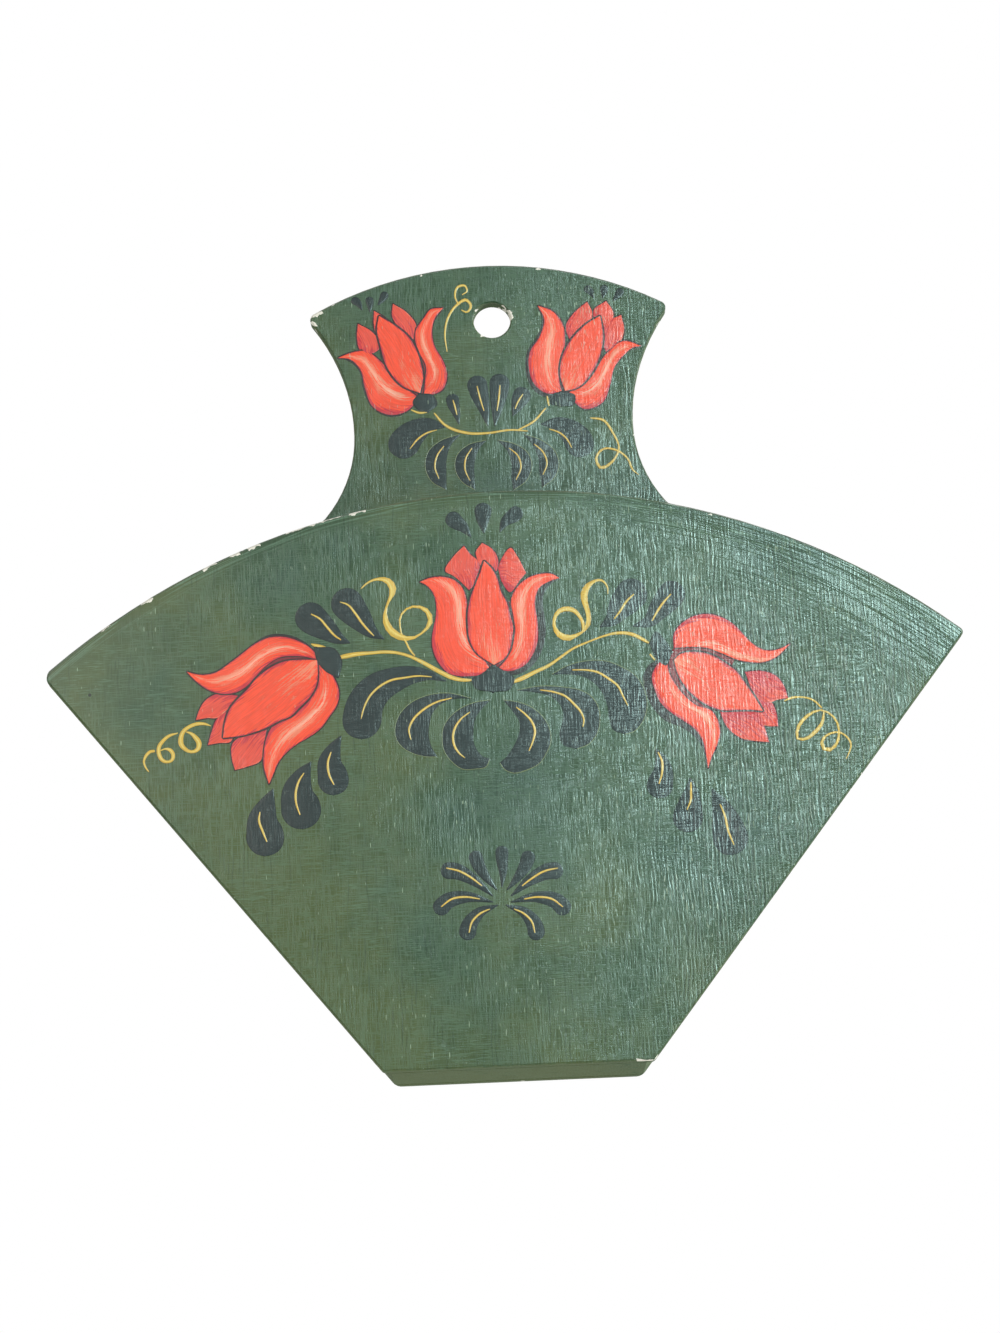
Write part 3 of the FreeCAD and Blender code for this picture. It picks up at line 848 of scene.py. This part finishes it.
def comma(points, radius):
    """Half width: a quarter circle up to the radius at the head, then down to nothing at the tail."""
    path = smooth_curve(points, ALONG)
    run = np.concatenate([[0], np.cumsum(np.linalg.norm(np.diff(path, axis=0), axis=1))])
    head = np.sqrt(1 - (1 - np.minimum(run / radius, 1)) ** 2)
    tail = 1 - np.clip((run - radius) / (run[-1] - radius), 0, 1) ** 1.5
    return path_edges(path, np.maximum(radius * head * tail, LEAST))


def brush_line(points, half_widths, surface, coats, level):
    """A thin line of paint along a path."""
    left, right = ribbon(points, half_widths)
    return film(left, right, surface, level, LINE_DOME, coats, across=ACROSS_LINE)


# %% [markdown]
# The tulips. Each has back petals, two side petals that curl out at their tips, a middle petal and a dark
# calyx. Every edge is listed from the petal's tip to its base. A side petal also has where across it the
# light lies and how wide it is. The shade that one petal casts starts at an edge of that petal, so its
# entry says which side petal and which edge. "inner" says which edge of each side petal faces the middle,
# and "rim" on which side the back petals are lit, and how deep their crimson is.

# %% Edge points of the tulips, in pixels of the photograph
CENTRE_TULIP = {
    "inner": (1, 0), "rim": (0.0, 0.1),
    "back": [
        ([(464, 546), (454, 556), (446, 572), (452, 575), (461, 582), (469, 590)],
         [(464, 546), (471, 555), (478, 561), (480, 568), (479, 580), (469, 590)]),
        ([(482, 543), (476, 552), (478, 561), (482, 568), (486, 576)],
         [(482, 543), (492, 549), (498, 560), (497, 570), (486, 576)]),
        ([(526, 573), (517, 556), (511, 548), (502, 558), (498, 568)],
         [(526, 573), (520, 580), (510, 592), (502, 582), (498, 568)]),
    ],
    "sides": [
        ([(420, 582), (426, 585), (433, 593), (436, 603), (436, 616), (433, 631), (432, 644), (435, 656),
          (441, 666), (448, 673), (459, 676), (471, 676), (480, 675), (490, 669)],
         [(420, 582), (430, 578), (443, 577), (454, 580), (461, 586), (466, 597), (467, 611), (468, 626),
          (471, 639), (477, 652), (485, 661), (490, 669)], 0.78, 0.18),
        ([(559, 578), (552, 574), (541, 574), (528, 578), (520, 584), (514, 592), (511, 601), (513, 614),
          (515, 627), (514, 639), (511, 650), (507, 658), (498, 669)],
         [(559, 578), (548, 582), (540, 587), (536, 595), (535, 605), (537, 618), (538, 631), (537, 644),
          (533, 654), (527, 663), (518, 669), (509, 671), (498, 669)], 0.35, 0.3),
    ],
    "heart": ([(484, 561), (480, 573), (475, 586), (471, 597), (468, 611), (468, 626), (469, 637), (473, 648),
               (481, 657), (489, 662), (494, 665)],
              [(484, 561), (492, 569), (497, 578), (501, 592), (507, 603), (510, 615), (513, 627), (512, 639),
               (510, 649), (505, 658), (494, 665)]),
    "shade": ((1, 1), [(559, 578), (550, 585), (544, 594), (543, 605), (545, 618), (546, 631),
                       (544, 644), (539, 657), (532, 666), (522, 673), (509, 675), (497, 671)]),
    "calyx": ([(493, 665), (484, 673), (473, 680), (477, 688), (493, 692)],
              [(493, 665), (501, 670), (513, 678), (509, 689), (493, 692)]),
}
LEFT_TULIP = {
    "inner": (1, 1), "rim": (1.0, 0.1),
    "back": [
        ([(196, 720), (199, 711), (205, 701), (214, 695), (240, 696)],
         [(196, 720), (207, 718), (217, 718), (228, 709), (240, 696)]),
        ([(208, 745), (212, 731), (217, 719), (227, 711), (233, 705)],
         [(208, 745), (219, 743), (230, 742), (235, 729), (233, 705)]),
        ([(235, 770), (232, 759), (233, 743), (240, 737), (267, 728)],
         [(235, 770), (246, 767), (261, 760), (263, 748), (267, 728)]),
    ],
    "sides": [
        ([(187, 672), (200, 675), (215, 673), (230, 663), (242, 654), (255, 644), (268, 638), (284, 637),
          (298, 641), (309, 647), (316, 655), (317, 660)],
         [(187, 672), (197, 682), (211, 691), (225, 694), (237, 692), (247, 686), (257, 675), (267, 665),
          (281, 657), (294, 656), (307, 657), (317, 660)], 0.5, 0.26),
        ([(269, 784), (273, 775), (278, 763), (286, 753), (297, 744), (309, 737), (321, 728), (329, 717),
          (337, 705), (339, 692), (335, 680), (328, 670), (319, 665)],
         [(269, 784), (264, 767), (264, 752), (267, 737), (273, 726), (281, 721), (292, 716), (301, 709),
          (309, 700), (317, 685), (319, 665)], 0.5, 0.3),
    ],
    "heart": ([(223, 738), (225, 723), (230, 709), (237, 700), (247, 690), (257, 678), (270, 668), (283, 662),
               (299, 660), (317, 660)],
              [(223, 738), (240, 736), (255, 732), (268, 727), (279, 721), (291, 716), (299, 708), (309, 698),
               (316, 686), (318, 672), (317, 660)]),
    "shade": ([(187, 672), (200, 674), (215, 671), (230, 661), (242, 652), (255, 642), (268, 635),
               (283, 634), (298, 638), (309, 645), (316, 653), (318, 659)], (0, 0)),
    "calyx": ([(315, 648), (318, 660), (326, 670), (338, 677)],
              [(315, 648), (334, 650), (341, 662), (338, 677)]),
}
RIGHT_TULIP = {
    "inner": (1, 1), "rim": (1.0, 0.35),
    "back": [
        ([(788, 698), (784, 686), (776, 676), (761, 671), (745, 672)],
         [(788, 698), (776, 700), (766, 705), (757, 698), (745, 672)]),
        ([(778, 726), (776, 712), (771, 702), (764, 700), (752, 696)],
         [(778, 726), (768, 726), (760, 724), (754, 715), (752, 696)]),
        ([(769, 742), (764, 726), (758, 713), (743, 708), (718, 706)],
         [(769, 742), (757, 741), (741, 738), (728, 728), (718, 706)]),
    ],
    "sides": [
        ([(790, 644), (776, 650), (764, 650), (753, 644), (743, 634), (733, 624), (721, 617), (707, 614),
          (692, 617), (681, 624), (674, 634), (674, 648)],
         [(790, 644), (776, 657), (764, 662), (750, 662), (735, 659), (721, 653), (707, 648), (692, 647),
          (674, 648)], 0.86, 0.15),
        ([(708, 768), (706, 754), (702, 739), (695, 729), (684, 721), (672, 713), (661, 703), (655, 690),
          (652, 676), (657, 665), (667, 657)],
         [(708, 768), (712, 756), (717, 745), (720, 732), (718, 721), (711, 710), (698, 706), (687, 698),
          (677, 686), (669, 672), (667, 657)], 0.72, 0.18),
    ],
    "heart": ([(763, 711), (754, 696), (745, 683), (737, 672), (725, 663), (711, 655), (695, 652), (679, 655),
               (674, 660)],
              [(763, 711), (753, 710), (738, 710), (721, 710), (707, 705), (694, 696), (684, 685), (677, 672),
               (674, 660)]),
    "shade": ((1, 0), [(708, 768), (705, 756), (700, 743), (693, 735), (681, 727), (666, 721),
                       (653, 708), (646, 693), (643, 677), (649, 665), (667, 657)]),
    "calyx": ([(672, 652), (664, 640), (656, 633), (650, 643)],
              [(672, 652), (666, 664), (655, 655), (650, 643)]),
}
NECK_LEFT_TULIP = {
    "inner": (1, 1), "rim": (1.0, 0.1),
    "back": [
        ([(358, 324), (357, 336), (360, 350), (368, 357)], [(358, 324), (372, 332), (381, 346), (368, 357)]),
        ([(374, 311), (374, 326), (379, 342), (386, 350)], [(374, 311), (385, 318), (393, 328), (386, 350)]),
        ([(393, 304), (392, 315), (400, 330), (411, 346)], [(393, 304), (406, 312), (416, 325), (411, 346)]),
    ],
    "sides": [
        ([(338, 358), (349, 359), (360, 369), (365, 388), (373, 407), (391, 415), (407, 411), (419, 398)],
         [(338, 358), (351, 353), (365, 351), (380, 361), (391, 374), (407, 389), (419, 398)], 0.6, 0.25),
        ([(443, 308), (435, 318), (432, 330), (434, 345), (443, 361), (447, 374), (443, 389), (424, 397)],
         [(443, 308), (430, 310), (424, 318), (415, 333), (418, 350), (426, 367), (425, 382),
          (424, 397)], 0.6, 0.25),
    ],
    "heart": ([(379, 316), (377, 330), (380, 344), (388, 369), (404, 387), (420, 393)],
              [(379, 316), (394, 325), (410, 339), (420, 361), (423, 380), (420, 393)]),
    "shade": ([(338, 358), (348, 361), (359, 371), (363, 389), (372, 408), (391, 417), (408, 412),
               (419, 398)], (0, 0)),
    "calyx": ([(419, 394), (414, 402), (420, 410), (428, 412)],
              [(419, 394), (432, 396), (436, 405), (428, 412)]),
}
NECK_RIGHT_TULIP = {
    "inner": (0, 0), "rim": (1.0, 0.1),
    "back": [
        ([(587, 302), (575, 312), (566, 326), (572, 345)], [(587, 302), (592, 312), (588, 328), (572, 345)]),
        ([(606, 301), (594, 310), (595, 325), (600, 338)], [(606, 301), (613, 312), (610, 328), (600, 338)]),
        ([(621, 315), (608, 322), (602, 338), (606, 352)], [(621, 315), (624, 330), (619, 344), (606, 352)]),
    ],
    "sides": [
        ([(538, 306), (552, 311), (562, 323), (565, 341), (561, 363), (559, 378), (562, 393)],
         [(538, 306), (544, 319), (540, 336), (530, 352), (529, 369), (535, 385), (546, 393),
          (562, 393)], 0.45, 0.25),
        ([(641, 346), (624, 341), (606, 354), (594, 372), (580, 385), (567, 394)],
         [(641, 346), (632, 348), (624, 355), (615, 366), (610, 385), (603, 402), (585, 409),
          (567, 394)], 0.4, 0.25),
    ],
    "heart": ([(600, 316), (588, 323), (577, 333), (563, 355), (560, 374), (565, 391)],
              [(600, 316), (603, 336), (600, 355), (591, 374), (577, 388), (565, 391)]),
    "shade": ((0, 1), [(538, 306), (542, 320), (537, 336), (527, 352), (526, 370), (532, 388),
                       (545, 397), (562, 393)]),
    "calyx": ([(563, 391), (552, 396), (552, 404), (560, 406)],
              [(563, 391), (574, 396), (572, 405), (560, 406)]),
}

# %% Paint the tulips


def rimmed(left, right, surface, layer, coats, rim, rim_colour):
    """A film and, under it, a dark one that is a little larger, which shows as its outline."""
    return [film(left, right, surface, layer * LAYER, DOME / 2, plain(rim_colour), grow=rim),
            film(left, right, surface, (layer + 1) * LAYER, DOME, coats)]


def tulip(name, shapes, surface):
    """Shade, back petals, the wine-red throat, side petals, middle petal and calyx, in that order."""
    sides = shapes["sides"]
    shade = [edge if isinstance(edge, list) else sides[edge[0]][edge[1]] for edge in shapes["shade"]]
    films = [film(*shade, surface, LAYER, DOME / 2, plain(DUSK))]
    for edges in shapes["back"]:
        films += rimmed(*edges, surface, 2, back_petal(*shapes["rim"]), HAIRLINE, PLUM)
    inner_edges = [side[inner] for side, inner in zip(sides, shapes["inner"])]
    throat = [edge[len(edge) // 2:] for edge in inner_edges]
    films.append(film(*throat, surface, 3.5 * LAYER, DOME / 2, plain(WINE)))
    for left, right, lit, breadth in sides:
        blush_side = 0.0 if lit > 0.5 else 1.0
        films += rimmed(left, right, surface, 4, side_petal(lit, breadth, blush_side), HAIRLINE, PLUM)
    films += rimmed(*shapes["heart"], surface, 6, heart_petal, RIM, PLUM)
    films += rimmed(*shapes["calyx"], surface, 8, plain(SLATE), HAIRLINE, BLACK)
    return paint_piece(name, films, flower_paint)


for tulip_name, shapes, board_face in (
        ("centre_tulip", CENTRE_TULIP, FRONT_FACE), ("left_tulip", LEFT_TULIP, FRONT_FACE),
        ("right_tulip", RIGHT_TULIP, FRONT_FACE), ("neck_left_tulip", NECK_LEFT_TULIP, BACK_FACE),
        ("neck_right_tulip", NECK_RIGHT_TULIP, BACK_FACE)):
    tulip(tulip_name, shapes, board_face)

# %% [markdown]
# The leaves are slate black. Small ones are single comma strokes. The large ones were filled in, so they
# are films between two edges, like the petals. Most carry one fine gold line.

# %% Points of the leaves, in pixels of the photograph
FRONT_COMMAS = [
    ([(448, 514), (455, 521), (463, 527), (471, 537)], 7.5),
    ([(483, 503), (483, 512), (483, 521), (484, 533)], 8.0),
    ([(521, 509), (514, 515), (505, 522), (500, 532)], 7.0),
    ([(300, 607), (311, 618), (327, 630), (338, 638), (350, 643)], 15.0),
    ([(337, 592), (348, 605), (360, 619), (372, 632), (384, 639)], 15.5),
    ([(642, 583), (630, 596), (620, 608), (611, 620), (600, 627)], 15.5),
    ([(680, 584), (670, 596), (659, 609), (649, 621), (633, 626)], 13.0),
    ([(362, 739), (362, 720), (366, 703), (377, 689), (394, 680), (412, 675), (428, 675), (446, 681)], 19.0),
    ([(265, 856), (265, 836), (263, 820), (267, 805), (273, 789)], 18.5),
    ([(303, 829), (301, 809), (298, 792), (303, 775), (311, 762)], 19.5),
    ([(334, 795), (333, 778), (330, 762), (334, 749), (341, 736)], 15.0),
    ([(658, 798), (660, 785), (663, 771), (661, 759), (656, 749)], 12.5),
    ([(687, 832), (688, 817), (690, 802), (691, 790), (690, 778)], 14.5),
    ([(736, 854), (731, 839), (727, 824), (721, 807), (712, 789)], 17.0),
]
FRONT_FILLED_LEAVES = [
    ([(471, 698), (448, 693), (425, 696), (409, 704), (399, 715), (395, 727), (396, 739), (403, 748),
      (414, 754), (429, 757), (437, 757)],
     [(471, 698), (453, 699), (440, 704), (432, 713), (429, 724), (428, 735), (431, 747), (437, 757)]),
    ([(490, 700), (476, 702), (461, 708), (449, 718), (443, 728), (442, 739), (444, 751), (451, 761),
      (462, 769), (476, 769), (486, 767), (490, 759)],
     [(490, 700), (481, 709), (475, 718), (473, 730), (473, 741), (477, 751), (483, 757), (490, 759)]),
    ([(504, 700), (518, 702), (533, 708), (544, 718), (550, 730), (551, 741), (546, 754), (540, 763),
      (527, 770), (513, 773), (504, 769), (500, 763)],
     [(504, 700), (513, 711), (520, 722), (520, 732), (517, 741), (512, 750), (506, 758), (500, 763)]),
    ([(517, 690), (541, 686), (563, 687), (580, 690), (591, 696), (598, 706), (600, 720), (597, 734),
      (589, 744), (577, 749)],
     [(517, 690), (535, 692), (551, 696), (561, 705), (564, 715), (562, 725), (560, 734), (563, 744),
      (577, 749)]),
    ([(552, 674), (569, 665), (585, 661), (606, 661), (622, 667), (636, 676), (645, 691), (647, 708),
      (642, 723), (633, 732), (625, 734)],
     [(552, 674), (569, 674), (583, 676), (595, 683), (603, 693), (608, 706), (610, 720), (614, 730),
      (625, 734)]),
]
NECK_COMMAS = [
    ([(452, 394), (453, 403), (456, 412), (459, 424)], 6.0),
    ([(475, 376), (479, 392), (484, 408), (488, 426)], 9.5),
    ([(500, 374), (499, 391), (497, 408), (495, 426)], 9.5),
    ([(527, 389), (521, 397), (517, 406), (513, 416)], 8.5),
    ([(400, 458), (404, 444), (415, 432), (430, 425), (445, 427)], 15.0),
    ([(580, 457), (579, 442), (570, 431), (557, 424), (541, 424)], 14.0),
    ([(352, 299), (358, 303), (362, 310)], 3.5),
    ([(369, 297), (370, 304), (370, 312)], 3.5),
    ([(386, 292), (383, 298), (378, 305)], 3.5),
    ([(585, 287), (590, 291), (594, 298)], 3.5),
    ([(604, 285), (604, 291), (603, 298)], 3.5),
    ([(622, 289), (618, 295), (613, 301)], 3.5),
]
NECK_FILLED_LEAVES = [
    ([(460, 434), (440, 441), (428, 452), (425, 466), (431, 481), (446, 490)],
     [(460, 434), (450, 446), (446, 460), (446, 475), (446, 490)]),
    ([(486, 440), (468, 445), (457, 455), (455, 469), (462, 482), (475, 490)],
     [(486, 440), (478, 450), (474, 463), (474, 477), (475, 490)]),
    ([(498, 440), (515, 444), (528, 453), (532, 465), (527, 480), (514, 490)],
     [(498, 440), (508, 451), (512, 463), (512, 477), (514, 490)]),
    ([(524, 434), (543, 441), (555, 451), (559, 464), (555, 477), (543, 487)],
     [(524, 434), (534, 446), (539, 458), (540, 472), (543, 487)]),
]

# %% [markdown]
# A small sprig of the same comma leaves fills the lower middle, mirrored about its middle.

# %% A sprig for the lower middle
SPRIG_MIDDLE = 502
SPRIG_DROP = ([(502, 846), (502, 858), (503, 871), (502, 887)], 6.0)
SPRIG_COMMAS = [
    ([(474, 851), (478, 864), (486, 877), (497, 890)], 6.5),
    ([(441, 871), (455, 871), (472, 879), (493, 896)], 8.0),
    ([(436, 913), (448, 901), (467, 897), (493, 902)], 8.0),
    ([(467, 940), (469, 926), (479, 913), (498, 905)], 8.0),
]
SPRIG_MIDRIBS = [
    [(446, 868), (459, 871), (473, 879), (482, 886)],
    [(441, 907), (452, 899), (466, 897), (480, 899)],
    [(469, 933), (472, 922), (481, 913), (490, 909)],
]


def both_sides(points):
    """The points, and the same points mirrored about the sprig's middle."""
    return [points, [(2 * SPRIG_MIDDLE - x, y) for x, y in points]]


sprig_commas = [SPRIG_DROP]
for points, radius in SPRIG_COMMAS:
    sprig_commas += [(half, radius) for half in both_sides(points)]
sprig_midribs = [half for points in SPRIG_MIDRIBS for half in both_sides(points)]

# %% Paint the leaves


def leaves(name, commas, filled, surface):
    """Comma strokes, then filled leaves, each with a mossy hairline along its outer edge."""
    films = []
    for points, radius in commas:
        films += rimmed(*comma(points, radius), surface, 1, plain(SLATE), LEAF_RIM, BLACK)
    for left, right in filled:
        films += rimmed(left, right, surface, 1, plain(SLATE), LEAF_RIM, BLACK)
        films.append(brush_line(left, [MOSS_LINE] * len(left), surface, plain(MOSS), 3 * LAYER))
    return paint_piece(name, films, leaf_paint)


leaves("front_leaves", FRONT_COMMAS, FRONT_FILLED_LEAVES, FRONT_FACE)
leaves("neck_leaves", NECK_COMMAS, NECK_FILLED_LEAVES, BACK_FACE)
leaves("sprig_leaves", sprig_commas, [], FRONT_FACE)

# %% [markdown]
# Gold comes last: the stems, the midribs and the tendrils, drawn with the tip of a liner brush that was
# pressed on the bends and lifted between them.

# %% Paths of the gold lines, in pixels of the photograph, each with half its widths
FRONT_GOLD = [
    ([(338, 658), (347, 656), (358, 654), (370, 653), (385, 652), (398, 653), (409, 656), (420, 661),
      (431, 667), (442, 673), (453, 678), (463, 680), (472, 680)],
     [1.8, 2.3, 2.0, 1.6, 1.5, 1.4, 1.4, 1.7, 2.0, 2.1, 2.0, 1.6, 1.2]),
    ([(513, 682), (523, 678), (535, 672), (548, 666), (561, 657), (574, 648), (588, 642), (601, 637),
      (611, 634), (625, 633), (634, 635), (642, 639), (649, 643)],
     [1.8, 2.1, 1.8, 1.5, 1.2, 1.1, 0.9, 0.9, 1.2, 1.6, 1.7, 1.6, 1.2]),
    ([(311, 644), (317, 646), (325, 648), (335, 652)], [0.5, 1.8, 1.5, 0.6]),
    ([(650, 654), (655, 660)], [0.9, 0.9]),
    ([(361, 589), (365, 585), (371, 581), (379, 579), (386, 580), (391, 584), (393, 590), (391, 597),
      (388, 602), (386, 609), (385, 617), (387, 625), (392, 632), (400, 637), (408, 639), (416, 637),
      (424, 631), (430, 624), (430, 616), (427, 611), (420, 607), (411, 607), (404, 611), (400, 618),
      (400, 626), (402, 635), (406, 642), (410, 650), (415, 656)],
     [0.6, 0.9, 1.0, 1.5, 2.6, 3.4, 3.4, 2.0, 0.9, 1.2, 2.2, 3.4, 3.8, 3.2, 2.0, 1.0, 1.2, 2.2, 2.6, 2.2,
      1.4, 1.0, 0.9, 0.9, 0.7, 0.7, 0.9, 1.0, 1.0]),
    ([(608, 594), (607, 586), (601, 580), (593, 582), (587, 587), (584, 595), (586, 606), (589, 616),
      (589, 624), (585, 630), (577, 635), (569, 638), (561, 636), (555, 629), (554, 621), (557, 613),
      (564, 609), (573, 610), (580, 617), (583, 624), (583, 631)],
     [0.6, 0.8, 1.0, 1.6, 3.0, 3.5, 2.6, 2.2, 1.7, 1.0, 1.5, 2.8, 3.0, 1.8, 1.4, 2.0, 2.3, 2.2, 1.6, 1.6,
      1.4]),
    ([(211, 726), (205, 724), (197, 724), (189, 727), (183, 732), (181, 738), (181, 744), (185, 749),
      (192, 752), (198, 749), (199, 743), (195, 737), (190, 733), (186, 732)],
     [0.5, 1.2, 1.7, 1.7, 2.0, 2.4, 2.5, 2.0, 1.5, 2.2, 2.6, 2.2, 1.2, 0.7]),
    ([(178, 733), (169, 736), (163, 741), (159, 747), (159, 754), (162, 760), (168, 762), (172, 760),
      (173, 754), (170, 750), (165, 749), (160, 751)],
     [0.6, 1.4, 1.7, 1.9, 2.1, 2.0, 1.3, 1.6, 1.9, 1.8, 0.8, 0.6]),
    ([(155, 751), (150, 752), (146, 756), (144, 761), (146, 768), (149, 772)],
     [1.3, 1.5, 1.5, 1.1, 0.9, 0.4]),
    ([(784, 701), (791, 698), (800, 697), (813, 700), (822, 708)], [0.7, 1.1, 0.8, 0.9, 0.8]),
    ([(824, 712), (822, 723), (814, 733), (805, 739), (798, 739), (797, 731), (802, 721), (810, 714),
      (820, 710), (829, 713), (836, 720), (839, 731), (837, 743), (830, 750), (823, 748), (822, 740),
      (829, 734), (838, 732), (846, 736), (851, 744), (849, 753), (846, 759)],
     [1.0, 1.6, 1.9, 1.5, 1.2, 1.5, 1.7, 1.4, 0.8, 0.9, 1.0, 1.1, 1.5, 1.7, 1.7, 1.4, 1.0, 0.9, 0.9,
      0.9, 0.7, 0.5]),
]
FRONT_MIDRIBS = [
    [(361, 719), (364, 708), (370, 696), (379, 687), (392, 680), (403, 678), (420, 676), (432, 677)],
    [(452, 698), (437, 702), (423, 710), (413, 720), (409, 730), (411, 740)],
    [(470, 712), (461, 719), (455, 728), (453, 737), (455, 747), (460, 754), (465, 758)],
    [(516, 707), (525, 714), (532, 722), (535, 731), (533, 741), (529, 751)],
    [(540, 690), (554, 692), (565, 696), (574, 704), (581, 712), (584, 720), (583, 727)],
    [(572, 670), (585, 670), (597, 672), (609, 679), (618, 686), (623, 696), (628, 706)],
    [(311, 614), (320, 619), (327, 627), (334, 635), (341, 640)],
    [(340, 602), (348, 605), (355, 613), (362, 623), (370, 632), (374, 636)],
    [(634, 594), (626, 602), (621, 610), (614, 619)],
    [(671, 594), (663, 603), (657, 612), (652, 621)],
    [(260, 812), (259, 820), (263, 832), (267, 842)],
    [(304, 773), (299, 781), (296, 791), (296, 802), (300, 815)],
    [(331, 752), (328, 762), (329, 774), (334, 785)],
    [(658, 752), (662, 761), (662, 773), (659, 784)],
    [(691, 782), (691, 792), (691, 799), (687, 810)],
    [(720, 804), (725, 816), (728, 830), (734, 845)],
]
NECK_GOLD = [
    ([(434, 413), (445, 425), (467, 433), (489, 433), (510, 430), (528, 431)],
     [0.8, 1.2, 1.3, 1.0, 0.9, 0.7]),
    ([(518, 430), (533, 422), (546, 408)], [0.7, 1.0, 0.8]),
    ([(411, 410), (420, 413), (428, 412)], [0.6, 1.0, 0.6]),
    ([(547, 396), (548, 401), (549, 406)], [0.6, 0.9, 0.6]),
    ([(447, 352), (445, 333), (448, 318), (457, 305), (466, 300), (471, 306), (467, 312), (461, 310)],
     [0.5, 0.8, 1.0, 1.2, 1.4, 1.2, 0.9, 0.6]),
    ([(458, 304), (455, 296), (458, 287), (465, 286), (467, 291), (462, 295)],
     [0.6, 0.9, 1.1, 1.0, 0.8, 0.5]),
    ([(590, 418), (603, 420), (613, 433), (619, 448), (612, 462), (601, 468), (596, 459), (603, 449),
      (616, 450), (628, 459), (633, 470), (639, 475)],
     [0.6, 1.1, 1.0, 0.8, 1.2, 1.4, 1.2, 1.0, 1.0, 0.9, 0.9, 0.5]),
]
NECK_MIDRIBS = [
    [(453, 400), (455, 407), (457, 415)],
    [(477, 386), (480, 398), (484, 411)],
    [(500, 385), (499, 398), (497, 411)],
    [(523, 394), (518, 402), (515, 409)],
    [(410, 449), (417, 440), (427, 433), (437, 430)],
    [(444, 446), (437, 456), (435, 467), (439, 479)],
    [(472, 448), (466, 458), (465, 469), (470, 481)],
    [(509, 448), (518, 456), (521, 467), (516, 480)],
    [(534, 444), (543, 452), (547, 463), (543, 475)],
    [(572, 448), (566, 438), (558, 432), (549, 429)],
]

# %% Paint the gold


def gold_lines(name, lines, midribs, surface, midrib_width):
    """Lines with widths of their own, then midribs that are widest halfway: a sine of the way along."""
    films = [brush_line(points, widths, surface, gold_stroke, 5 * LAYER) for points, widths in lines]
    for points in midribs:
        along = np.pi * (np.arange(len(points)) + 0.3) / (len(points) - 0.4)
        widths = midrib_width * (0.35 + 0.65 * np.sin(along))
        films.append(brush_line(points, widths, surface, gold_stroke, 6 * LAYER))
    return paint_piece(name, films, gold_paint)


gold_lines("front_gold", FRONT_GOLD, FRONT_MIDRIBS, FRONT_FACE, 1.1)
gold_lines("neck_gold", NECK_GOLD, NECK_MIDRIBS, BACK_FACE, 0.8)
gold_lines("sprig_gold", [], sprig_midribs, FRONT_FACE, 1.0)

# %% [markdown]
# The studio. The pocket hangs over a pale floor in soft light from all round. A cool window stands behind
# the camera to the upper right, where the varnish on the right of the board mirrors it, so the crests there
# glint as they do in the photograph. It shows in the varnish only. A second window at the right rakes over
# the crests, a weak warm lamp lights the board from the left, and another lights its back.

# %% Floor, world and lamps
FLOOR_Z, FLOOR_HALF = -0.5, 3.0
AMBIENT = 0.4
POCKET_MIDDLE = (Vector(cad_low) + Vector(cad_high)) / 2

# each lamp: name, place, width, radiance, colour, and whether it lights the paint or only shows in varnish
LAMPS = [
    ("cool_window", (0.67, -1.85, 0.44), 0.58, 60, (0.68, 1.0, 0.96), False),
    ("side_window", (1.25, -0.45, 0.2), 0.5, 20, (0.94, 1.0, 1.0), True),
    ("warm_lamp", (-0.70, -1.85, 0.42), 0.7, 6, (1.0, 0.99, 0.88), True),
    ("back_lamp", (0.4, 1.6, 1.0), 1.2, 4, (1.0, 1.0, 1.0), True),
]


def pale_floor():
    """A plain pale floor far enough below to keep only a soft shadow."""
    mesh = bpy.data.meshes.new("floor")
    corners = [(x * FLOOR_HALF, y * FLOOR_HALF, FLOOR_Z) for x, y in ((-1, -1), (1, -1), (1, 1), (-1, 1))]
    mesh.from_pydata(corners, [], [(0, 1, 2, 3)])
    floor = bpy.data.objects.new("floor", mesh)
    bpy.context.scene.collection.objects.link(floor)
    material, tree = new_material("pale_floor")
    shader = add(tree, "BsdfDiffuse", {"Color": rgba("#F2F2F0")})
    add(tree, "OutputMaterial", {"Surface": shader})
    mesh.materials.append(material)
    floor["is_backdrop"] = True


def soft_world():
    """White to the camera and in reflections, and a plain grey light on everything else."""
    world = bpy.data.worlds.new("studio")
    bpy.context.scene.world = world
    world.use_nodes = True
    tree = world.node_tree
    tree.nodes.clear()
    rays = add(tree, "LightPath")
    seen = add(tree, "Math", {
        0: rays.outputs["Is Camera Ray"], 1: rays.outputs["Is Glossy Ray"]}, operation="MAXIMUM")
    white = add(tree, "Math", {0: seen, 1: rays.outputs["Is Transmission Ray"]}, operation="MAXIMUM")
    strength = add(tree, "Mix", {0: white, 2: AMBIENT, 3: 1.0})
    background = add(tree, "Background", {"Color": (1, 1, 1, 1), "Strength": strength})
    add(tree, "OutputWorld", {"Surface": background})


def soft_lamp(name, place, width, radiance, colour, lights_paint):
    """A square lamp turned to face the pocket. Power = radiance * pi * width^2."""
    lamp = bpy.data.lights.new(name, "AREA")
    lamp.size = width
    lamp.energy = radiance * math.pi * width ** 2
    lamp.color = colour
    shade = bpy.data.objects.new(name, lamp)
    bpy.context.scene.collection.objects.link(shade)
    shade.location = place
    shade.rotation_euler = (POCKET_MIDDLE - Vector(place)).to_track_quat("-Z", "Y").to_euler()
    shade.visible_diffuse = lights_paint


pale_floor()
soft_world()
for lamp_settings in LAMPS:
    soft_lamp(*lamp_settings)

# %% Measure how far the paint stands past the CAD box
visual_low, visual_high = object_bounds()
growth = [round((low - new) / MM, 3) for low, new in zip(cad_low, visual_low)]
print("paint stands past the CAD box, at its low corner, by", growth, "mm")
